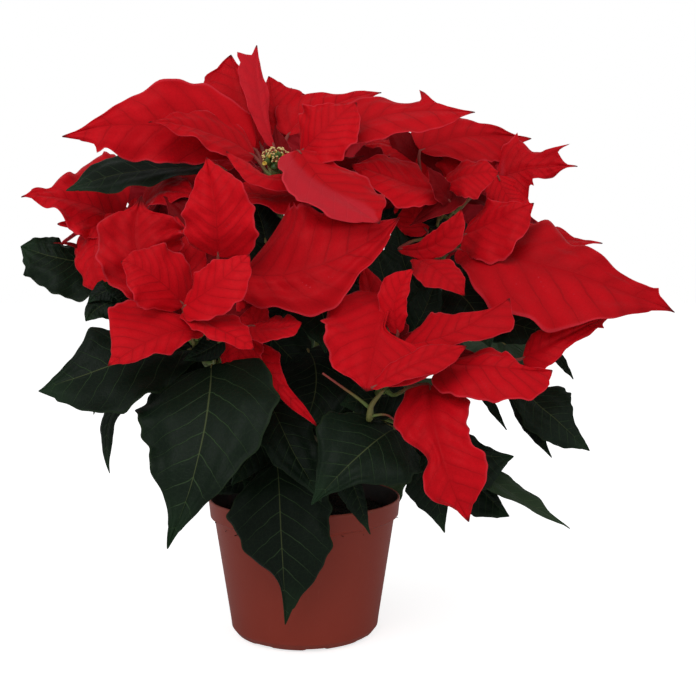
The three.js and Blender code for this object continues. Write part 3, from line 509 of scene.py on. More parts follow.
# Centre lines of the shoots: where each leaves the main stem, then up to the middle of its rosette.
shootLines = {
    "a": ((0, 0, 143.2), (-4, 8, 170), (-12, 4, 225), (-15, -32, 282), (-16, -48, 301)),
    "b": ((0, 0, 132), (38, 20, 178), (72, 12, 238), (86, -5, 273), (89, -11, 286)),
    "c": ((0, 0, 118), (-26, -30, 140), (-48, -66, 174), (-58, -88, 200), (-62, -100, 214)),
    "d": ((0, 0, 122), (24, -28, 142), (44, -62, 166), (55, -86, 184), (60, -94, 192)),
    "f": ((0, 0, 135), (-44, 16, 176), (-88, 12, 232), (-110, 0, 264), (-116, -5, 275)),
    "g": ((0, 0, 126), (6, 30, 178), (14, 52, 240), (19, 60, 278), (20, 63, 292)),
    "h": ((0, 0, 112), (-30, 26, 156), (-58, 48, 206), (-75, 58, 244), (-80, 62, 258)),
    "i": ((0, 0, 108), (36, 26, 150), (74, 42, 200), (92, 50, 236), (97, 53, 250)),
}

# Each blade: name, shoot, place of its stalk along the shoot, base, middle, tip, facing, width, fold,
# and its outline: a name, or half widths of its left and right side at seven even stations.
bractRows = [
    ("bract_a1", "a", 0.9, (-29, -38, 324), (-91, -60, 336), (-142, -75, 328), (-1, -9, 2), 56, 8,
     ([14, 20, 24, 25, 23, 17, 7], [25, 32, 32, 25, 17, 7, 2])),
    ("bract_a3", "a", 0.93, (-26, -26, 327), (-37, -14, 357), (-48, 0, 390), (-2, -8, 3), 60, 8,
     ([15, 26, 36, 44, 49, 41, 18], [6, 10, 14, 14, 11, 8, 3])),
    ("bract_a4", "a", 0.975, (-17, -40, 325), (-27, -36, 358), (-29, -22, 392), (3, -8, 1), 17, 8,
     ([5, 6, 8, 9, 10, 13, 3], [2, 3, 5, 8, 6, 4, 2])),
    ("bract_a6", "a", 0.88, (1, -36, 323), (53, -46, 343), (108, -56, 345), (1, -7, 7), 43, 10,
     ([13, 20, 24, 22, 14, 8, 3], [12, 17, 19, 20, 23, 21, 14])),
    ("bract_a7", "a", 0.95, (0, -50, 321), (16, -60, 335), (35, -54, 351), (-2, -8, 5), 50, 8,
     ([23, 25, 27, 25, 20, 14, 7], [14, 20, 23, 23, 22, 17, 10])),
    ("bract_a8", "a", 0.92, (-1, -62, 321), (22, -86, 296), (48, -105, 275), (2, -6, 7), 53, 16,
     ([11, 18, 23, 25, 26, 25, 19], [20, 25, 28, 29, 26, 22, 13])),
    ("bract_b1", "b", 0.9, (93, -26, 296), (66, -36, 305), (31, -44, 314), (-1, -7, 6), 46, 8,
     ([9, 17, 23, 26, 26, 20, 10], [7, 13, 17, 19, 20, 16, 8])),
    ("bract_b8", "b", 0.86, (77, -12, 326), (115, 6, 338), (155, 18, 337), (0, -8, 5), 43, 8,
     ([22, 24, 20, 17, 9, 3, 1], [12, 17, 23, 24, 24, 19, 9])),
    ("bract_b9", "b", 0.91, (131, -2, 308), (151, -8, 315), (179, -20, 315), (1, -9, 4), 55, 8,
     ([16, 24, 25, 16, 12, 14, 2], [38, 34, 20, 10, 9, 7, 3])),
    ("bract_b10", "b", 0.94, (104, -32, 270), (122, -56, 280), (144, -62, 289), (-1, -8, 5), 47, 8,
     ([12, 17, 17, 14, 10, 7, 3], [17, 26, 30, 32, 28, 20, 11])),
    ("bract_b11", "b", 0.74, (100, -36, 261), (158, -76, 249), (225, -86, 223), (1, -7, 6), 82, 10,
     ([21, 34, 33, 24, 17, 13, 8], [19, 42, 49, 49, 43, 28, 9])),
    ("bract_b12", "b", 0.82, (130, -10, 277), (163, -22, 269), (193, -34, 265), (0, -5, 8), 33, 8,
     ([7, 12, 13, 12, 7, 4, 3], [12, 17, 20, 19, 16, 12, 6])),
    ("bract_c1", "c", 0.93, (-46, -100, 256), (-47, -112, 284), (-52, -102, 313), (-1, -9, 2), 44, 8,
     ([17, 19, 19, 18, 15, 10, 5], [24, 25, 24, 22, 20, 16, 7])),
    ("bract_c2", "c", 0.84, (-79, -88, 236), (-93, -97, 260), (-94, -88, 287), (1, -9, 3), 52, 12,
     ([19, 22, 25, 25, 24, 22, 17], [18, 23, 26, 27, 27, 27, 23])),
    ("bract_c3", "c", 0.9, (-65, -108, 228), (-82, -122, 247), (-98, -123, 253), (-1, -8, 6), 43, 8,
     ([11, 17, 21, 20, 17, 12, 6], [18, 22, 22, 21, 18, 13, 7])),
    ("bract_c4", "c", 0.82, (-53, -112, 215), (-77, -130, 211), (-102, -143, 196), (-2, -8, 5), 51, 6,
     ([7, 10, 12, 13, 12, 9, 5], [12, 21, 28, 37, 39, 26, 9])),
    ("bract_c5", "c", 0.975, (-64, -118, 227), (-44, -132, 241), (-25, -130, 257), (1, -8, 5), 34, 8,
     ([9, 13, 14, 14, 12, 9, 5], [13, 17, 18, 20, 19, 15, 10])),
    ("bract_c6", "c", 0.76, (-33, -84, 247), (12, -106, 249), (60, -92, 279), (0, -9, 4), 70, 8,
     ([46, 45, 43, 40, 36, 27, 12], [20, 20, 26, 30, 19, 13, 8])),
    ("bract_d1", "d", 0.91, (55, -90, 233), (47, -116, 207), (40, -134, 181), (1, -8, 5), 82, 12,
     ([2, 2, 3, 51, 44, 34, 19], [24, 32, 33, 31, 28, 24, 19])),
    ("bract_d3", "d", 0.975, (61, -100, 204), (91, -116, 214), (123, -108, 232), (-1, -7, 7), 27, 8,
     ([16, 21, 18, 14, 9, 4, 1], [4, 6, 9, 11, 13, 16, 19])),
    ("bract_d4", "d", 0.88, (87, -104, 195), (115, -130, 193), (145, -126, 192), (0, -7, 7), 44, 8,
     ([10, 15, 16, 12, 7, 2, 1], [22, 26, 23, 22, 22, 19, 13])),
    ("bract_d5", "d", 0.84, (135, -84, 195), (157, -93, 208), (188, -80, 221), (-1, -8, 6), 27, 8,
     ([12, 12, 10, 7, 5, 3, 2], [15, 15, 11, 8, 7, 6, 4])),
    ("bract_d7", "d", 0.82, (77, -112, 182), (79, -146, 149), (96, -150, 111), (-1, -9, 2), 44, 10,
     ([24, 21, 19, 18, 24, 24, 12], [17, 23, 18, 6, 13, 16, 4])),
    ("bract_f1", "f", 0.95, (-121, -16, 279), (-146, -30, 293), (-177, -42, 294), (-1, -7, 6), 75, 8,
     ([17, 26, 30, 28, 20, 13, 6], [38, 49, 42, 28, 18, 12, 7])),
    ("bract_f2", "f", 0.88, (-129, -20, 284), (-130, -50, 255), (-119, -62, 231), (-4, -8, 2), 40, 8,
     ([14, 20, 23, 23, 20, 13, 6], [14, 19, 17, 13, 13, 10, 5])),
    ("bract_g1", "g", 0.94, (4, 78, 306), (-38, 98, 328), (-82, 110, 320), (-2, 5, 8), 56, 10, "pointed"),
    ("bract_g2", "g", 0.9, (20, 86, 300), (22, 130, 308), (18, 172, 288), (0, 5, 8), 62, 10, "pointed"),
    ("bract_g3", "g", 0.92, (36, 76, 306), (76, 94, 328), (118, 102, 314), (2, 5, 8), 54, 10, "lobed"),
    ("bract_g4", "g", 0.975, (14, 54, 316), (4, 42, 348), (-10, 36, 374), (-1, 7, 5), 44, 10, "pointed"),
    ("bract_h1", "h", 0.94, (-96, 60, 270), (-138, 64, 283), (-180, 58, 264), (-4, 2, 8), 54, 10, "pointed"),
    ("bract_h2", "h", 0.88, (-86, 84, 256), (-104, 126, 264), (-118, 164, 246), (-2, 6, 8), 56, 10, "lobed"),
    ("bract_i1", "i", 0.94, (114, 50, 263), (158, 52, 276), (203, 44, 256), (4, 2, 8), 54, 10, "pointed"),
    ("bract_i2", "i", 0.88, (106, 74, 250), (130, 114, 256), (148, 152, 236), (2, 6, 8), 56, 10, "pointed"),
]

leafRows = [
    ("leaf_a1", "a", 0.82, (-56, -30, 315), (-108, -44, 309), (-145, -56, 297), (0, -6, 8), 42, 8,
     ([12, 16, 17, 19, 19, 16, 9], [12, 19, 23, 23, 20, 14, 6])),
    ("leaf_c1", "c", 0.45, (-51, -97, 192), (-53, -137, 151), (-70, -147, 95), (-2, -9, 4), 81, 8,
     ([38, 42, 40, 30, 24, 13, 5], [37, 42, 41, 35, 27, 18, 5])),
    ("leaf_m1", "main", 0.84, (-14, -72, 128), (-10, -86, 86), (-9, -80, 30), (0, -9, 3), 63, 8,
     ([26, 30, 28, 29, 27, 18, 7], [19, 33, 35, 27, 21, 4, 1])),
    ("leaf_d1", "d", 0.5, (57, -96, 154), (36, -126, 144), (9, -130, 116), (1, -8, 5), 61, 8,
     ([29, 30, 30, 25, 14, 9, 3], [12, 24, 31, 34, 27, 16, 7])),
    ("leaf_m2", "main", 0.95, (-17, -84, 167), (-2, -102, 143), (14, -104, 112), (2, -8, 5), 34, 8,
     ([14, 18, 18, 16, 14, 10, 5], [12, 15, 16, 15, 12, 7, 3])),
    ("leaf_c2", "c", 0.64, (-65, -76, 200), (-106, -106, 193), (-148, -116, 179), (-1, -8, 6), 63, 10,
     ([16, 26, 29, 35, 37, 30, 15], [14, 23, 29, 31, 24, 14, 4])),
    ("leaf_d2", "d", 0.62, (79, -86, 142), (104, -98, 139), (128, -98, 138), (0, -9, 4), 38, 8,
     ([10, 14, 14, 11, 6, 4, 2], [9, 15, 24, 26, 22, 16, 5])),
    ("leaf_d3", "d", 0.38, (99, -84, 132), (130, -102, 115), (160, -108, 97), (3, -2, 9), 30, 10, "green"),
    ("leaf_b1", "b", 0.46, (139, -66, 173), (155, -84, 158), (176, -84, 139), (2, -8, 5), 39, 8,
     ([19, 22, 21, 15, 10, 6, 3], [14, 17, 19, 18, 16, 11, 5])),
    ("leaf_f1", "f", 0.72, (-136, -12, 253), (-156, -30, 256), (-181, -32, 263), (-2, -8, 5), 45, 8,
     ([26, 30, 30, 28, 22, 17, 11], [16, 15, 14, 14, 15, 14, 10])),
    ("leaf_g1", "g", 0.5, (4, 98, 216), (0, 138, 194), (-6, 164, 146), (0, 8, 5), 70, 8, "green"),
    ("leaf_h1", "h", 0.6, (-98, 70, 200), (-138, 92, 180), (-166, 98, 136), (-6, 4, 6), 62, 8, "green"),
    ("leaf_i1", "i", 0.55, (118, 64, 196), (150, 96, 182), (172, 118, 152), (5, 6, 6), 62, 8, "green"),
    ("leaf_m3", "main", 0.76, (34, 78, 124), (52, 106, 90), (58, 116, 44), (2, 8, 4), 60, 8, "green"),
]

# Young bracts and leaves that grow on as part of their shoot.
youngBractRows = [
    ("a", 0.96, (-29, -48, 319), (-58, -64, 333), (-89, -80, 336), (-1, -7, 7), 40, 10, "pointed"),
    ("a", 0.945, (-9, -28, 334), (12, -12, 354), (52, 4, 366), (0, -6, 8), 43, 10,
     ([14, 24, 26, 19, 11, 9, 5], [8, 14, 17, 17, 14, 10, 6])),
    ("a", 0.93, (0, -66, 308), (-21, -86, 303), (-43, -78, 319), (1, -5, 8), 20, -12,
     ([8, 10, 10, 9, 7, 5, 3], [9, 10, 10, 11, 13, 12, 7])),
    ("a", 0.86, (11, -58, 296), (-15, -66, 294), (-47, -70, 299), (0, -5, 8), 44, 6,
     ([14, 20, 22, 22, 19, 14, 7], [14, 20, 22, 22, 19, 14, 7])),
    ("b", 0.98, (92, -28, 302), (107, -40, 309), (125, -44, 309), (0, -8, 6), 31, 8,
     ([10, 13, 12, 12, 10, 9, 5], [7, 13, 17, 19, 19, 16, 9])),
    ("b", 0.97, (105, -6, 298), (110, 2, 318), (113, 8, 339), (1, -8, 4), 43, 8,
     ([11, 18, 21, 21, 20, 16, 11], [13, 20, 22, 22, 20, 16, 9])),
    ("b", 0.96, (82, -6, 306), (64, 4, 328), (40, 8, 331), (0, -5, 8), 36, 10, "pointed"),
    ("b", 0.85, (62, -38, 261), (84, -62, 265), (99, -68, 285), (-3, -8, 3), 20, 16,
     ([3, 5, 7, 8, 7, 6, 4], [4, 7, 10, 11, 13, 12, 8])),
    ("b", 0.8, (71, -50, 255), (86, -80, 247), (99, -90, 233), (0, -7, 7), 28, 8,
     ([7, 11, 12, 12, 11, 9, 5], [6, 12, 14, 16, 13, 10, 5])),
    ("d", 0.985, (59, -99, 211), (58, -102, 231), (68, -98, 249), (-2, -9, 1), 19, 20,
     ([5, 8, 9, 10, 11, 10, 5], [6, 9, 9, 8, 8, 6, 3])),
    ("d", 0.96, (59, -84, 203), (47, -76, 226), (39, -68, 252), (3, -9, 2), 20, 10,
     ([5, 7, 9, 9, 8, 7, 4], [5, 8, 10, 11, 11, 9, 5])),
    ("c", 0.93, (-65, -110, 224), (-41, -134, 216), (-22, -142, 205), (1, -6, 8), 24, 8,
     ([10, 12, 14, 14, 12, 10, 6], [7, 9, 10, 10, 8, 7, 4])),
    ("c", 0.88, (-28, -92, 215), (-13, -104, 215), (3, -107, 218), (0, -6, 8), 26, 8,
     ([9, 12, 13, 13, 12, 11, 8], [9, 12, 13, 13, 13, 12, 9])),
    ("c", 0.7, (-35, -86, 203), (-17, -104, 187), (12, -112, 158), (0, -8, 5), 22, 10,
     ([7, 13, 16, 10, 5, 4, 3], [5, 6, 6, 6, 4, 4, 3])),
    ("f", 0.975, (-106, -18, 286), (-88, -38, 298), (-62, -50, 292), (0, -7, 6), 40, 10, "pointed"),
    ("g", 0.98, (34, 56, 308), (62, 42, 330), (92, 32, 337), (2, 3, 9), 40, 10, "pointed"),
    ("g", 0.96, (4, 58, 308), (-30, 54, 330), (-64, 50, 336), (-1, 4, 9), 42, 10, "pointed"),
    ("g", 0.985, (14, 78, 310), (-2, 100, 338), (-22, 122, 352), (-1, 7, 6), 42, 10, "pointed"),
    ("g", 0.97, (30, 74, 310), (46, 96, 338), (64, 114, 350), (1, 7, 6), 42, 10, "pointed"),
    ("h", 0.98, (-90, 46, 280), (-114, 32, 306), (-138, 18, 316), (-3, 2, 8), 44, 10, "pointed"),
    ("h", 0.96, (-66, 78, 270), (-56, 112, 292), (-42, 140, 300), (0, 6, 7), 46, 10, "pointed"),
    ("h", 0.97, (-66, 54, 272), (-46, 40, 294), (-24, 28, 302), (0, 2, 9), 40, 10, "pointed"),
    ("h", 0.84, (-98, 80, 254), (-132, 100, 250), (-162, 112, 226), (-3, 4, 8), 46, 10, "pointed"),
    ("i", 0.98, (104, 38, 275), (120, 26, 300), (138, 14, 311), (3, 2, 8), 42, 10, "pointed"),
    ("i", 0.96, (92, 70, 262), (84, 106, 282), (80, 138, 288), (0, 6, 7), 46, 10, "pointed"),
    ("i", 0.97, (84, 46, 268), (60, 42, 290), (36, 36, 298), (0, 2, 9), 40, 10, "pointed"),
    ("i", 0.84, (118, 66, 248), (156, 90, 246), (190, 104, 226), (3, 4, 8), 46, 10, "pointed"),
    ("a", 0.9, (-14, -20, 332), (-19, -8, 355), (-23, 0, 376), (1, -8, 3), 37, 8,
     ([9, 12, 14, 13, 10, 7, 3], [10, 17, 22, 24, 22, 18, 9])),
    ("b", 0.88, (96, 6, 311), (84, 8, 330), (89, 10, 350), (1, -8, 4), 37, 8,
     ([14, 19, 19, 17, 14, 10, 6], [12, 16, 18, 18, 16, 11, 6])),
    ("b", 0.78, (82, -14, 273), (71, -20, 284), (62, -24, 298), (-1, -8, 3), 26, 8,
     ([7, 11, 12, 12, 10, 8, 4], [9, 13, 14, 14, 12, 9, 4])),
    ("f", 0.9, (-130, -14, 283), (-140, -30, 279), (-155, -40, 277), (-1, -8, 4), 31, 8,
     ([12, 17, 19, 16, 12, 7, 3], [7, 11, 12, 10, 7, 5, 2])),
    ("a", 0.79, (-55, 0, 310), (-74, -14, 312), (-97, -24, 305), (0, -8, 4), 45, 8,
     ([14, 22, 25, 25, 20, 14, 7], [13, 19, 20, 18, 14, 9, 5])),
    ("c", 0.94, (-35, -90, 215), (-35, -97, 201), (-38, -103, 186), (0, -7, 6), 27, 8,
     ([12, 15, 15, 15, 15, 13, 9], [11, 12, 12, 12, 11, 9, 8])),
    ("c", 0.86, (-69, -78, 230), (-69, -76, 253), (-76, -66, 282), (0, -8, 3), 27, 8,
     ([8, 12, 13, 13, 11, 8, 4], [8, 12, 14, 14, 12, 8, 4])),
    ("c", 0.9, (-21, -82, 207), (-28, -88, 223), (-36, -88, 240), (1, -8, 4), 21, 8,
     ([7, 10, 11, 11, 8, 6, 3], [6, 9, 10, 10, 9, 7, 3])),
    ("b", 0.89, (129, -6, 310), (135, -12, 295), (145, -18, 284), (1, -9, 3), 28, 8,
     ([9, 12, 13, 12, 11, 8, 5], [10, 14, 15, 14, 11, 8, 4])),
]

youngLeafRows = [
    ("a", 0.32, (4, -34, 196), (10, -60, 178), (2, -76, 150), (0, -9, 4), 64, 8, "green"),
    ("a", 0.6, (2, -44, 240), (14, -66, 226), (16, -80, 198), (0, -8, 5), 52, 8, "green"),
    ("b", 0.62, (92, -26, 236), (108, -50, 226), (118, -62, 200), (0, -8, 5), 50, 8, "green"),
    ("f", 0.6, (-112, 28, 206), (-138, 32, 188), (-150, 28, 150), (-5, 2, 6), 52, 8, "green"),
    ("h", 0.45, (-66, 92, 168), (-84, 130, 150), (-88, 150, 108), (-2, 7, 6), 56, 8, "green"),
    ("i", 0.42, (66, 88, 164), (82, 128, 146), (86, 150, 104), (2, 7, 6), 56, 8, "green"),
    ("b", 0.5, (134, 0, 200), (154, 8, 178), (164, 8, 146), (5, 1, 7), 46, 8, "green"),
    ("c", 0.6, (-22, -30, 228), (-24, -34, 259), (-22, -26, 289), (0, -9, 2), 33, 8,
     ([11, 15, 16, 16, 14, 11, 5], [11, 15, 17, 17, 15, 11, 6])),
    ("c", 0.68, (-103, -62, 230), (-121, -66, 226), (-130, -74, 217), (-1, -8, 4), 23, 8,
     ([7, 11, 13, 12, 10, 8, 4], [5, 9, 10, 9, 7, 6, 3])),
    ("c", 0.52, (-100, -72, 178), (-114, -84, 158), (-114, -88, 126), (-6, -6, 3), 17, 8,
     ([5, 7, 8, 7, 7, 5, 3], [6, 8, 9, 8, 7, 6, 3])),
    ("c", 0.36, (-51, -40, 204), (-32, -56, 184), (-9, -60, 166), (1, -8, 5), 50, 8,
     ([15, 21, 24, 21, 17, 12, 5], [16, 23, 26, 23, 19, 13, 6])),
    ("d", 0.62, (66, -40, 215), (55, -36, 240), (47, -26, 265), (1, -9, 2), 39, 8,
     ([14, 19, 20, 19, 17, 12, 6], [13, 18, 19, 18, 16, 12, 5])),
    ("b", 0.66, (109, -30, 225), (134, -44, 215), (162, -50, 206), (0, -8, 4), 34, 8,
     ([9, 13, 16, 14, 12, 9, 4], [10, 15, 18, 16, 14, 10, 5])),
    ("d", 0.3, (28, -84, 132), (35, -93, 113), (43, -98, 91), (-1, -9, 3), 15, 8,
     ([3, 5, 5, 5, 4, 3, 1], [6, 9, 10, 9, 7, 5, 2])),
    ("d", 0.46, (79, -90, 139), (82, -98, 117), (87, -102, 93), (0, -9, 3), 28, 8,
     ([6, 9, 11, 11, 8, 5, 2], [9, 15, 17, 16, 12, 7, 3])),
    ("d", 0.55, (93, -80, 134), (110, -86, 115), (127, -90, 100), (0, -9, 3), 24, 8,
     ([6, 8, 7, 5, 5, 4, 2], [9, 14, 17, 18, 16, 11, 6])),
    ("c", 0.3, (-33, -24, 214), (-10, -34, 195), (11, -44, 170), (0, -8, 5), 41, 8,
     ([13, 19, 20, 19, 14, 10, 4], [15, 20, 21, 20, 15, 10, 5])),
    ("d", 0.7, (79, -30, 225), (67, -26, 252), (61, -20, 278), (0, -9, 2), 29, 8,
     ([9, 13, 15, 14, 12, 9, 4], [9, 13, 14, 14, 12, 9, 4])),
    ("d", 0.78, (67, -62, 205), (77, -62, 225), (86, -56, 247), (1, -9, 3), 21, 8,
     ([6, 9, 10, 10, 9, 7, 4], [7, 10, 11, 11, 9, 7, 4])),
    ("d", 0.42, (67, -60, 171), (46, -74, 170), (25, -84, 167), (0, -8, 5), 33, 8,
     ([11, 16, 19, 17, 15, 11, 5], [10, 13, 14, 14, 12, 9, 4])),
    ("c", 0.24, (-22, -44, 155), (-31, -58, 135), (-43, -66, 114), (-1, -9, 3), 30, 8,
     ([11, 16, 17, 16, 13, 9, 4], [9, 12, 13, 12, 9, 6, 3])),
    ("b", 0.56, (131, -50, 171), (143, -66, 153), (155, -74, 133), (-4, -7, 4), 10, 8,
     ([2, 3, 4, 4, 4, 3, 1], [3, 5, 6, 6, 5, 4, 2])),
    ("b", 0.52, (116, -40, 175), (121, -48, 163), (130, -54, 147), (-3, -8, 4), 8, 8,
     ([3, 4, 4, 3, 3, 2, 1], [3, 4, 4, 3, 3, 2, 1])),
    ("b", 0.7, (158, -30, 199), (167, -38, 189), (174, -42, 178), (2, -8, 4), 8, 8,
     ([2, 4, 4, 4, 2, 2, 1], [3, 4, 4, 4, 3, 3, 1])),
]

# blades deep inside the plant that close the gaps between the outer ones: kind first, then as above;
# fold and outline are left out where they are the usual ones
# those with a named outline get a low tone and are painted dark, as painted shade between the outer blades
innerRows = [
    ("bract", "b", 0.93, (91, -2, 304), (73, 2, 326), (54, 6, 348), (-1, -8, 3), 29),
    ("bract", "b", 0.92, (67, -8, 291), (52, -12, 298), (35, -18, 301), (-1, -8, 4), 21),
    ("bract", "b", 0.93, (106, -22, 300), (89, -34, 289), (69, -38, 276), (-1, -9, 4), 18, 10, "pointed"),
    ("leaf", "b", 0.76, (90, -4, 277), (74, -8, 270), (56, -16, 263), (0, -8, 4), 24),
    ("leaf", "b", 0.7, (115, -16, 262), (104, -20, 248), (92, -26, 232), (0, -8, 4), 22),
    ("leaf", "b", 0.56, (53, -20, 253), (41, -28, 243), (27, -36, 231), (0, -8, 4), 25),
    ("leaf", "d", 0.6, (61, -50, 209), (47, -54, 218), (31, -60, 229), (0, -8, 4), 25),
    ("leaf", "a", 0.71, (-2, -16, 299), (15, -20, 291), (35, -24, 284), (0, -8, 4), 18),
    ("bract", "a", 0.93, (-24, -46, 304), (-39, -48, 305), (-58, -50, 306), (0, -8, 4), 21),
    ("bract", "a", 0.93, (-11, -44, 314), (-14, -36, 326), (-17, -30, 340), (0, -8, 4), 14),
    ("bract", "a", 0.6, (-58, -58, 268), (-71, -52, 282), (-86, -48, 294), (0, -8, 4), 27),
    ("bract", "c", 0.9, (-38, -74, 251), (-52, -72, 257), (-67, -68, 261), (0, -8, 4), 17),
    ("leaf", "a", 0.71, (-21, -56, 264), (-25, -52, 280), (-32, -46, 297), (0, -8, 4), 22),
    ("leaf", "c", 0.58, (-61, -58, 203), (-72, -64, 196), (-84, -72, 188), (0, -8, 4), 27),
    ("leaf", "c", 0.84, (-43, -103, 208), (-53, -105, 202), (-66, -107, 196), (0, -8, 3), 15, 6, "green"),
    ("leaf", "c", 0.88, (-95, -64, 230), (-106, -70, 235), (-119, -78, 240), (0, -8, 4), 21),
    ("bract", "c", 0.91, (-49, -96, 218), (-39, -92, 223), (-26, -88, 228), (0, -8, 4), 12),
    ("leaf", "c", 0.63, (-25, -70, 216), (-16, -68, 225), (-5, -66, 232), (0, -8, 4), 14),
    ("leaf", "c", 0.36, (-25, -52, 176), (-8, -56, 164), (12, -60, 148), (0, -8, 4), 18),
    ("bract", "d", 0.93, (58, -94, 206), (82, -102, 202), (106, -106, 199), (0, -8, 4), 21),
    ("bract", "d", 0.95, (60, -84, 206), (57, -80, 216), (53, -76, 229), (0, -8, 4), 18),
    ("leaf", "c", 0.19, (-25, -40, 133), (-29, -46, 121), (-36, -54, 109), (0, -8, 4), 23),
    ("leaf", "a", 0.77, (-67, -40, 283), (-73, -38, 290), (-83, -34, 299), (0, -8, 4), 28),
    ("leaf", "d", 0.31, (64, -30, 147), (44, -34, 153), (20, -38, 159), (0, -8, 4), 20),
    ("leaf", "d", 0.34, (58, -60, 154), (71, -70, 137), (80, -80, 118), (0, -8, 4), 17),
    ("bract", "b", 0.93, (95, -32, 291), (88, -42, 301), (79, -46, 313), (0, -8, 4), 15),
    ("leaf", "b", 0.72, (111, -10, 270), (90, -14, 279), (69, -18, 284), (0, -8, 4), 17),
    ("leaf", "b", 0.62, (38, -20, 270), (53, -22, 281), (66, -24, 289), (0, -8, 4), 14),
    ("bract", "a", 0.93, (11, -34, 306), (25, -32, 314), (40, -28, 321), (0, -8, 4), 15),
    ("bract", "f", 0.9, (-141, -20, 257), (-145, -34, 263), (-157, -44, 265), (0, -8, 4), 4),
    ("bract", "c", 0.92, (-59, -100, 219), (-68, -98, 227), (-78, -96, 234), (0, -8, 4), 12),
    ("leaf", "c", 0.6, (-51, -70, 199), (-63, -76, 192), (-78, -84, 182), (0, -8, 4), 16),
    ("leaf", "c", 0.7, (-108, -60, 236), (-120, -64, 235), (-130, -68, 228), (0, -8, 4), 16),
    ("leaf", "c", 0.2, (-25, -30, 117), (-41, -34, 110), (-60, -38, 103), (0, -8, 4), 17),
    ("bract", "d", 0.93, (43, -135, 183), (67, -138, 196), (96, -130, 206), (0, -7, 7), 26, 6,
     ([6, 8, 9, 9, 9, 8, 5], [4, 6, 8, 9, 10, 10, 6])),
    ("leaf", "c", 0.6, (-88, -56, 232), (-79, -58, 222), (-71, -60, 211), (0, -8, 4), 16),
    ("bract", "c", 0.9, (-46, -62, 233), (-40, -60, 227), (-33, -58, 219), (0, -8, 4), 12),
    ("leaf", "c", 0.3, (3, -36, 155), (9, -38, 147), (13, -40, 138), (0, -8, 4), 12),
    ("leaf", "b", 0.5, (76, 8, 214), (90, -4, 200), (96, -12, 166), (8, 1, 4), 46),
    ("leaf", "b", 0.64, (96, 22, 244), (112, 28, 236), (118, 34, 206), (8, 2, 4), 44),
    ("leaf", "b", 0.36, (66, -2, 178), (80, -20, 162), (84, -30, 130), (8, -2, 4), 42),
    ("leaf", "i", 0.62, (98, 34, 208), (104, 20, 194), (102, 8, 168), (8, -2, 4), 42),
    ("leaf", "i", 0.38, (76, 50, 154), (94, 62, 138), (98, 72, 106), (7, 4, 4), 48),
    ("leaf", "f", 0.4, (-62, 22, 190), (-84, 10, 176), (-90, 2, 144), (-8, 1, 4), 46),
    ("leaf", "c", 0.4, (-54, -26, 170), (-74, -22, 152), (-78, -20, 120), (-8, -1, 4), 44),
    ("leaf", "f", 0.62, (-98, 20, 226), (-112, 30, 214), (-112, 38, 184), (-8, 2, 4), 44),
    ("leaf", "h", 0.44, (-66, 48, 170), (-88, 56, 152), (-92, 62, 122), (-7, 3, 4), 48),
    ("leaf", "g", 0.36, (30, 62, 190), (40, 86, 174), (44, 98, 142), (3, 8, 4), 50),
    ("leaf", "g", 0.62, (-10, 84, 244), (-26, 104, 232), (-34, 114, 200), (-2, 8, 4), 46),
    ("leaf", "h", 0.3, (-34, 54, 150), (-48, 78, 132), (-54, 90, 98), (-3, 8, 4), 50),
    ("leaf", "i", 0.66, (66, 76, 216), (78, 100, 204), (84, 112, 172), (3, 8, 4), 46),
    ("leaf", "main", 0.9, (-8, 66, 130), (-10, 92, 108), (-12, 104, 72), (0, 8, 4), 52),
    ("bract", "b", 0.93, (100, 6, 296), (114, 26, 302), (124, 48, 302), (5, 2, 7), 46),
    ("bract", "g", 0.93, (32, 50, 300), (50, 34, 314), (68, 16, 322), (4, -3, 8), 44),
    ("bract", "f", 0.93, (-112, 14, 280), (-108, 38, 288), (-100, 60, 290), (-5, 2, 7), 44),
    ("bract", "g", 0.93, (4, 52, 300), (-14, 36, 312), (-34, 18, 320), (-4, -3, 8), 44),
    ("bract", "i", 0.93, (108, 40, 258), (120, 22, 262), (124, 2, 256), (6, -1, 7), 40),
    ("bract", "h", 0.93, (-92, 50, 266), (-104, 30, 270), (-108, 8, 264), (-6, -1, 7), 40),
]

# middle of each rosette's flower cluster and the way it looks
flowerPlaces = {
    "a": ((-15, -58, 314), (0, -0.5, 0.87)),
    "b": ((91, -17, 299), (0.1, -0.45, 0.88)),
    "c": ((-64, -92, 212), (0, -0.6, 0.8)),
    "d": ((64, -94, 189), (0.1, -0.6, 0.8)),
    "f": ((-119, 2, 277), (-0.3, -0.3, 0.9)),
    "g": ((20, 64, 299), (0, 0.2, 0.97)),
    "h": ((-82, 64, 264), (-0.2, 0.3, 0.92)),
    "i": ((99, 55, 256), (0.2, 0.3, 0.92)),
}

stemShape = {
    "mainRadius": 5.0, "mainFoot": 53.0, "mainMiddle": 103.0, "mainTop": 142.0, "shootRadius": 2.6,
    "forkSteps": (0.5, 2.5, 8), "belowFlowers": 3.3, "steps": 200,
    "stalkRadius": 1.1, "stalkSteps": 16, "stalkSunk": 0.6, "knee": 5, "arch": 0.05, "underBlade": 4,
    "swellAt": (0, 0.08, 0.2, 0.9, 1), "swell": (1.7, 1.3, 1.05, 1.0, 0.55),
}


def shootPath(name):
    s = stemShape
    if name == "main":
        return [(0, 0, s["mainFoot"]), (0, 0, s["mainMiddle"]), (0, 0, s["mainTop"])]
    root, *rest = [np.array(p, float) for p in shootLines[name]]
    if name in ("a", "b"):
        centre, looks = flowerPlaces[name]
        rest.append(np.array(centre, float) - s["belowFlowers"] * unit(looks))
    if name == "a":
        return [root, *rest]
    outward = unit(rest[0] * (1, 1, 0))
    return [root + outward * (s["mainRadius"] + away) for away in s["forkSteps"]] + rest


shootCurves = {name: splineThrough(shootPath(name), stemShape["steps"]) for name in [*shootLines, "main"]}


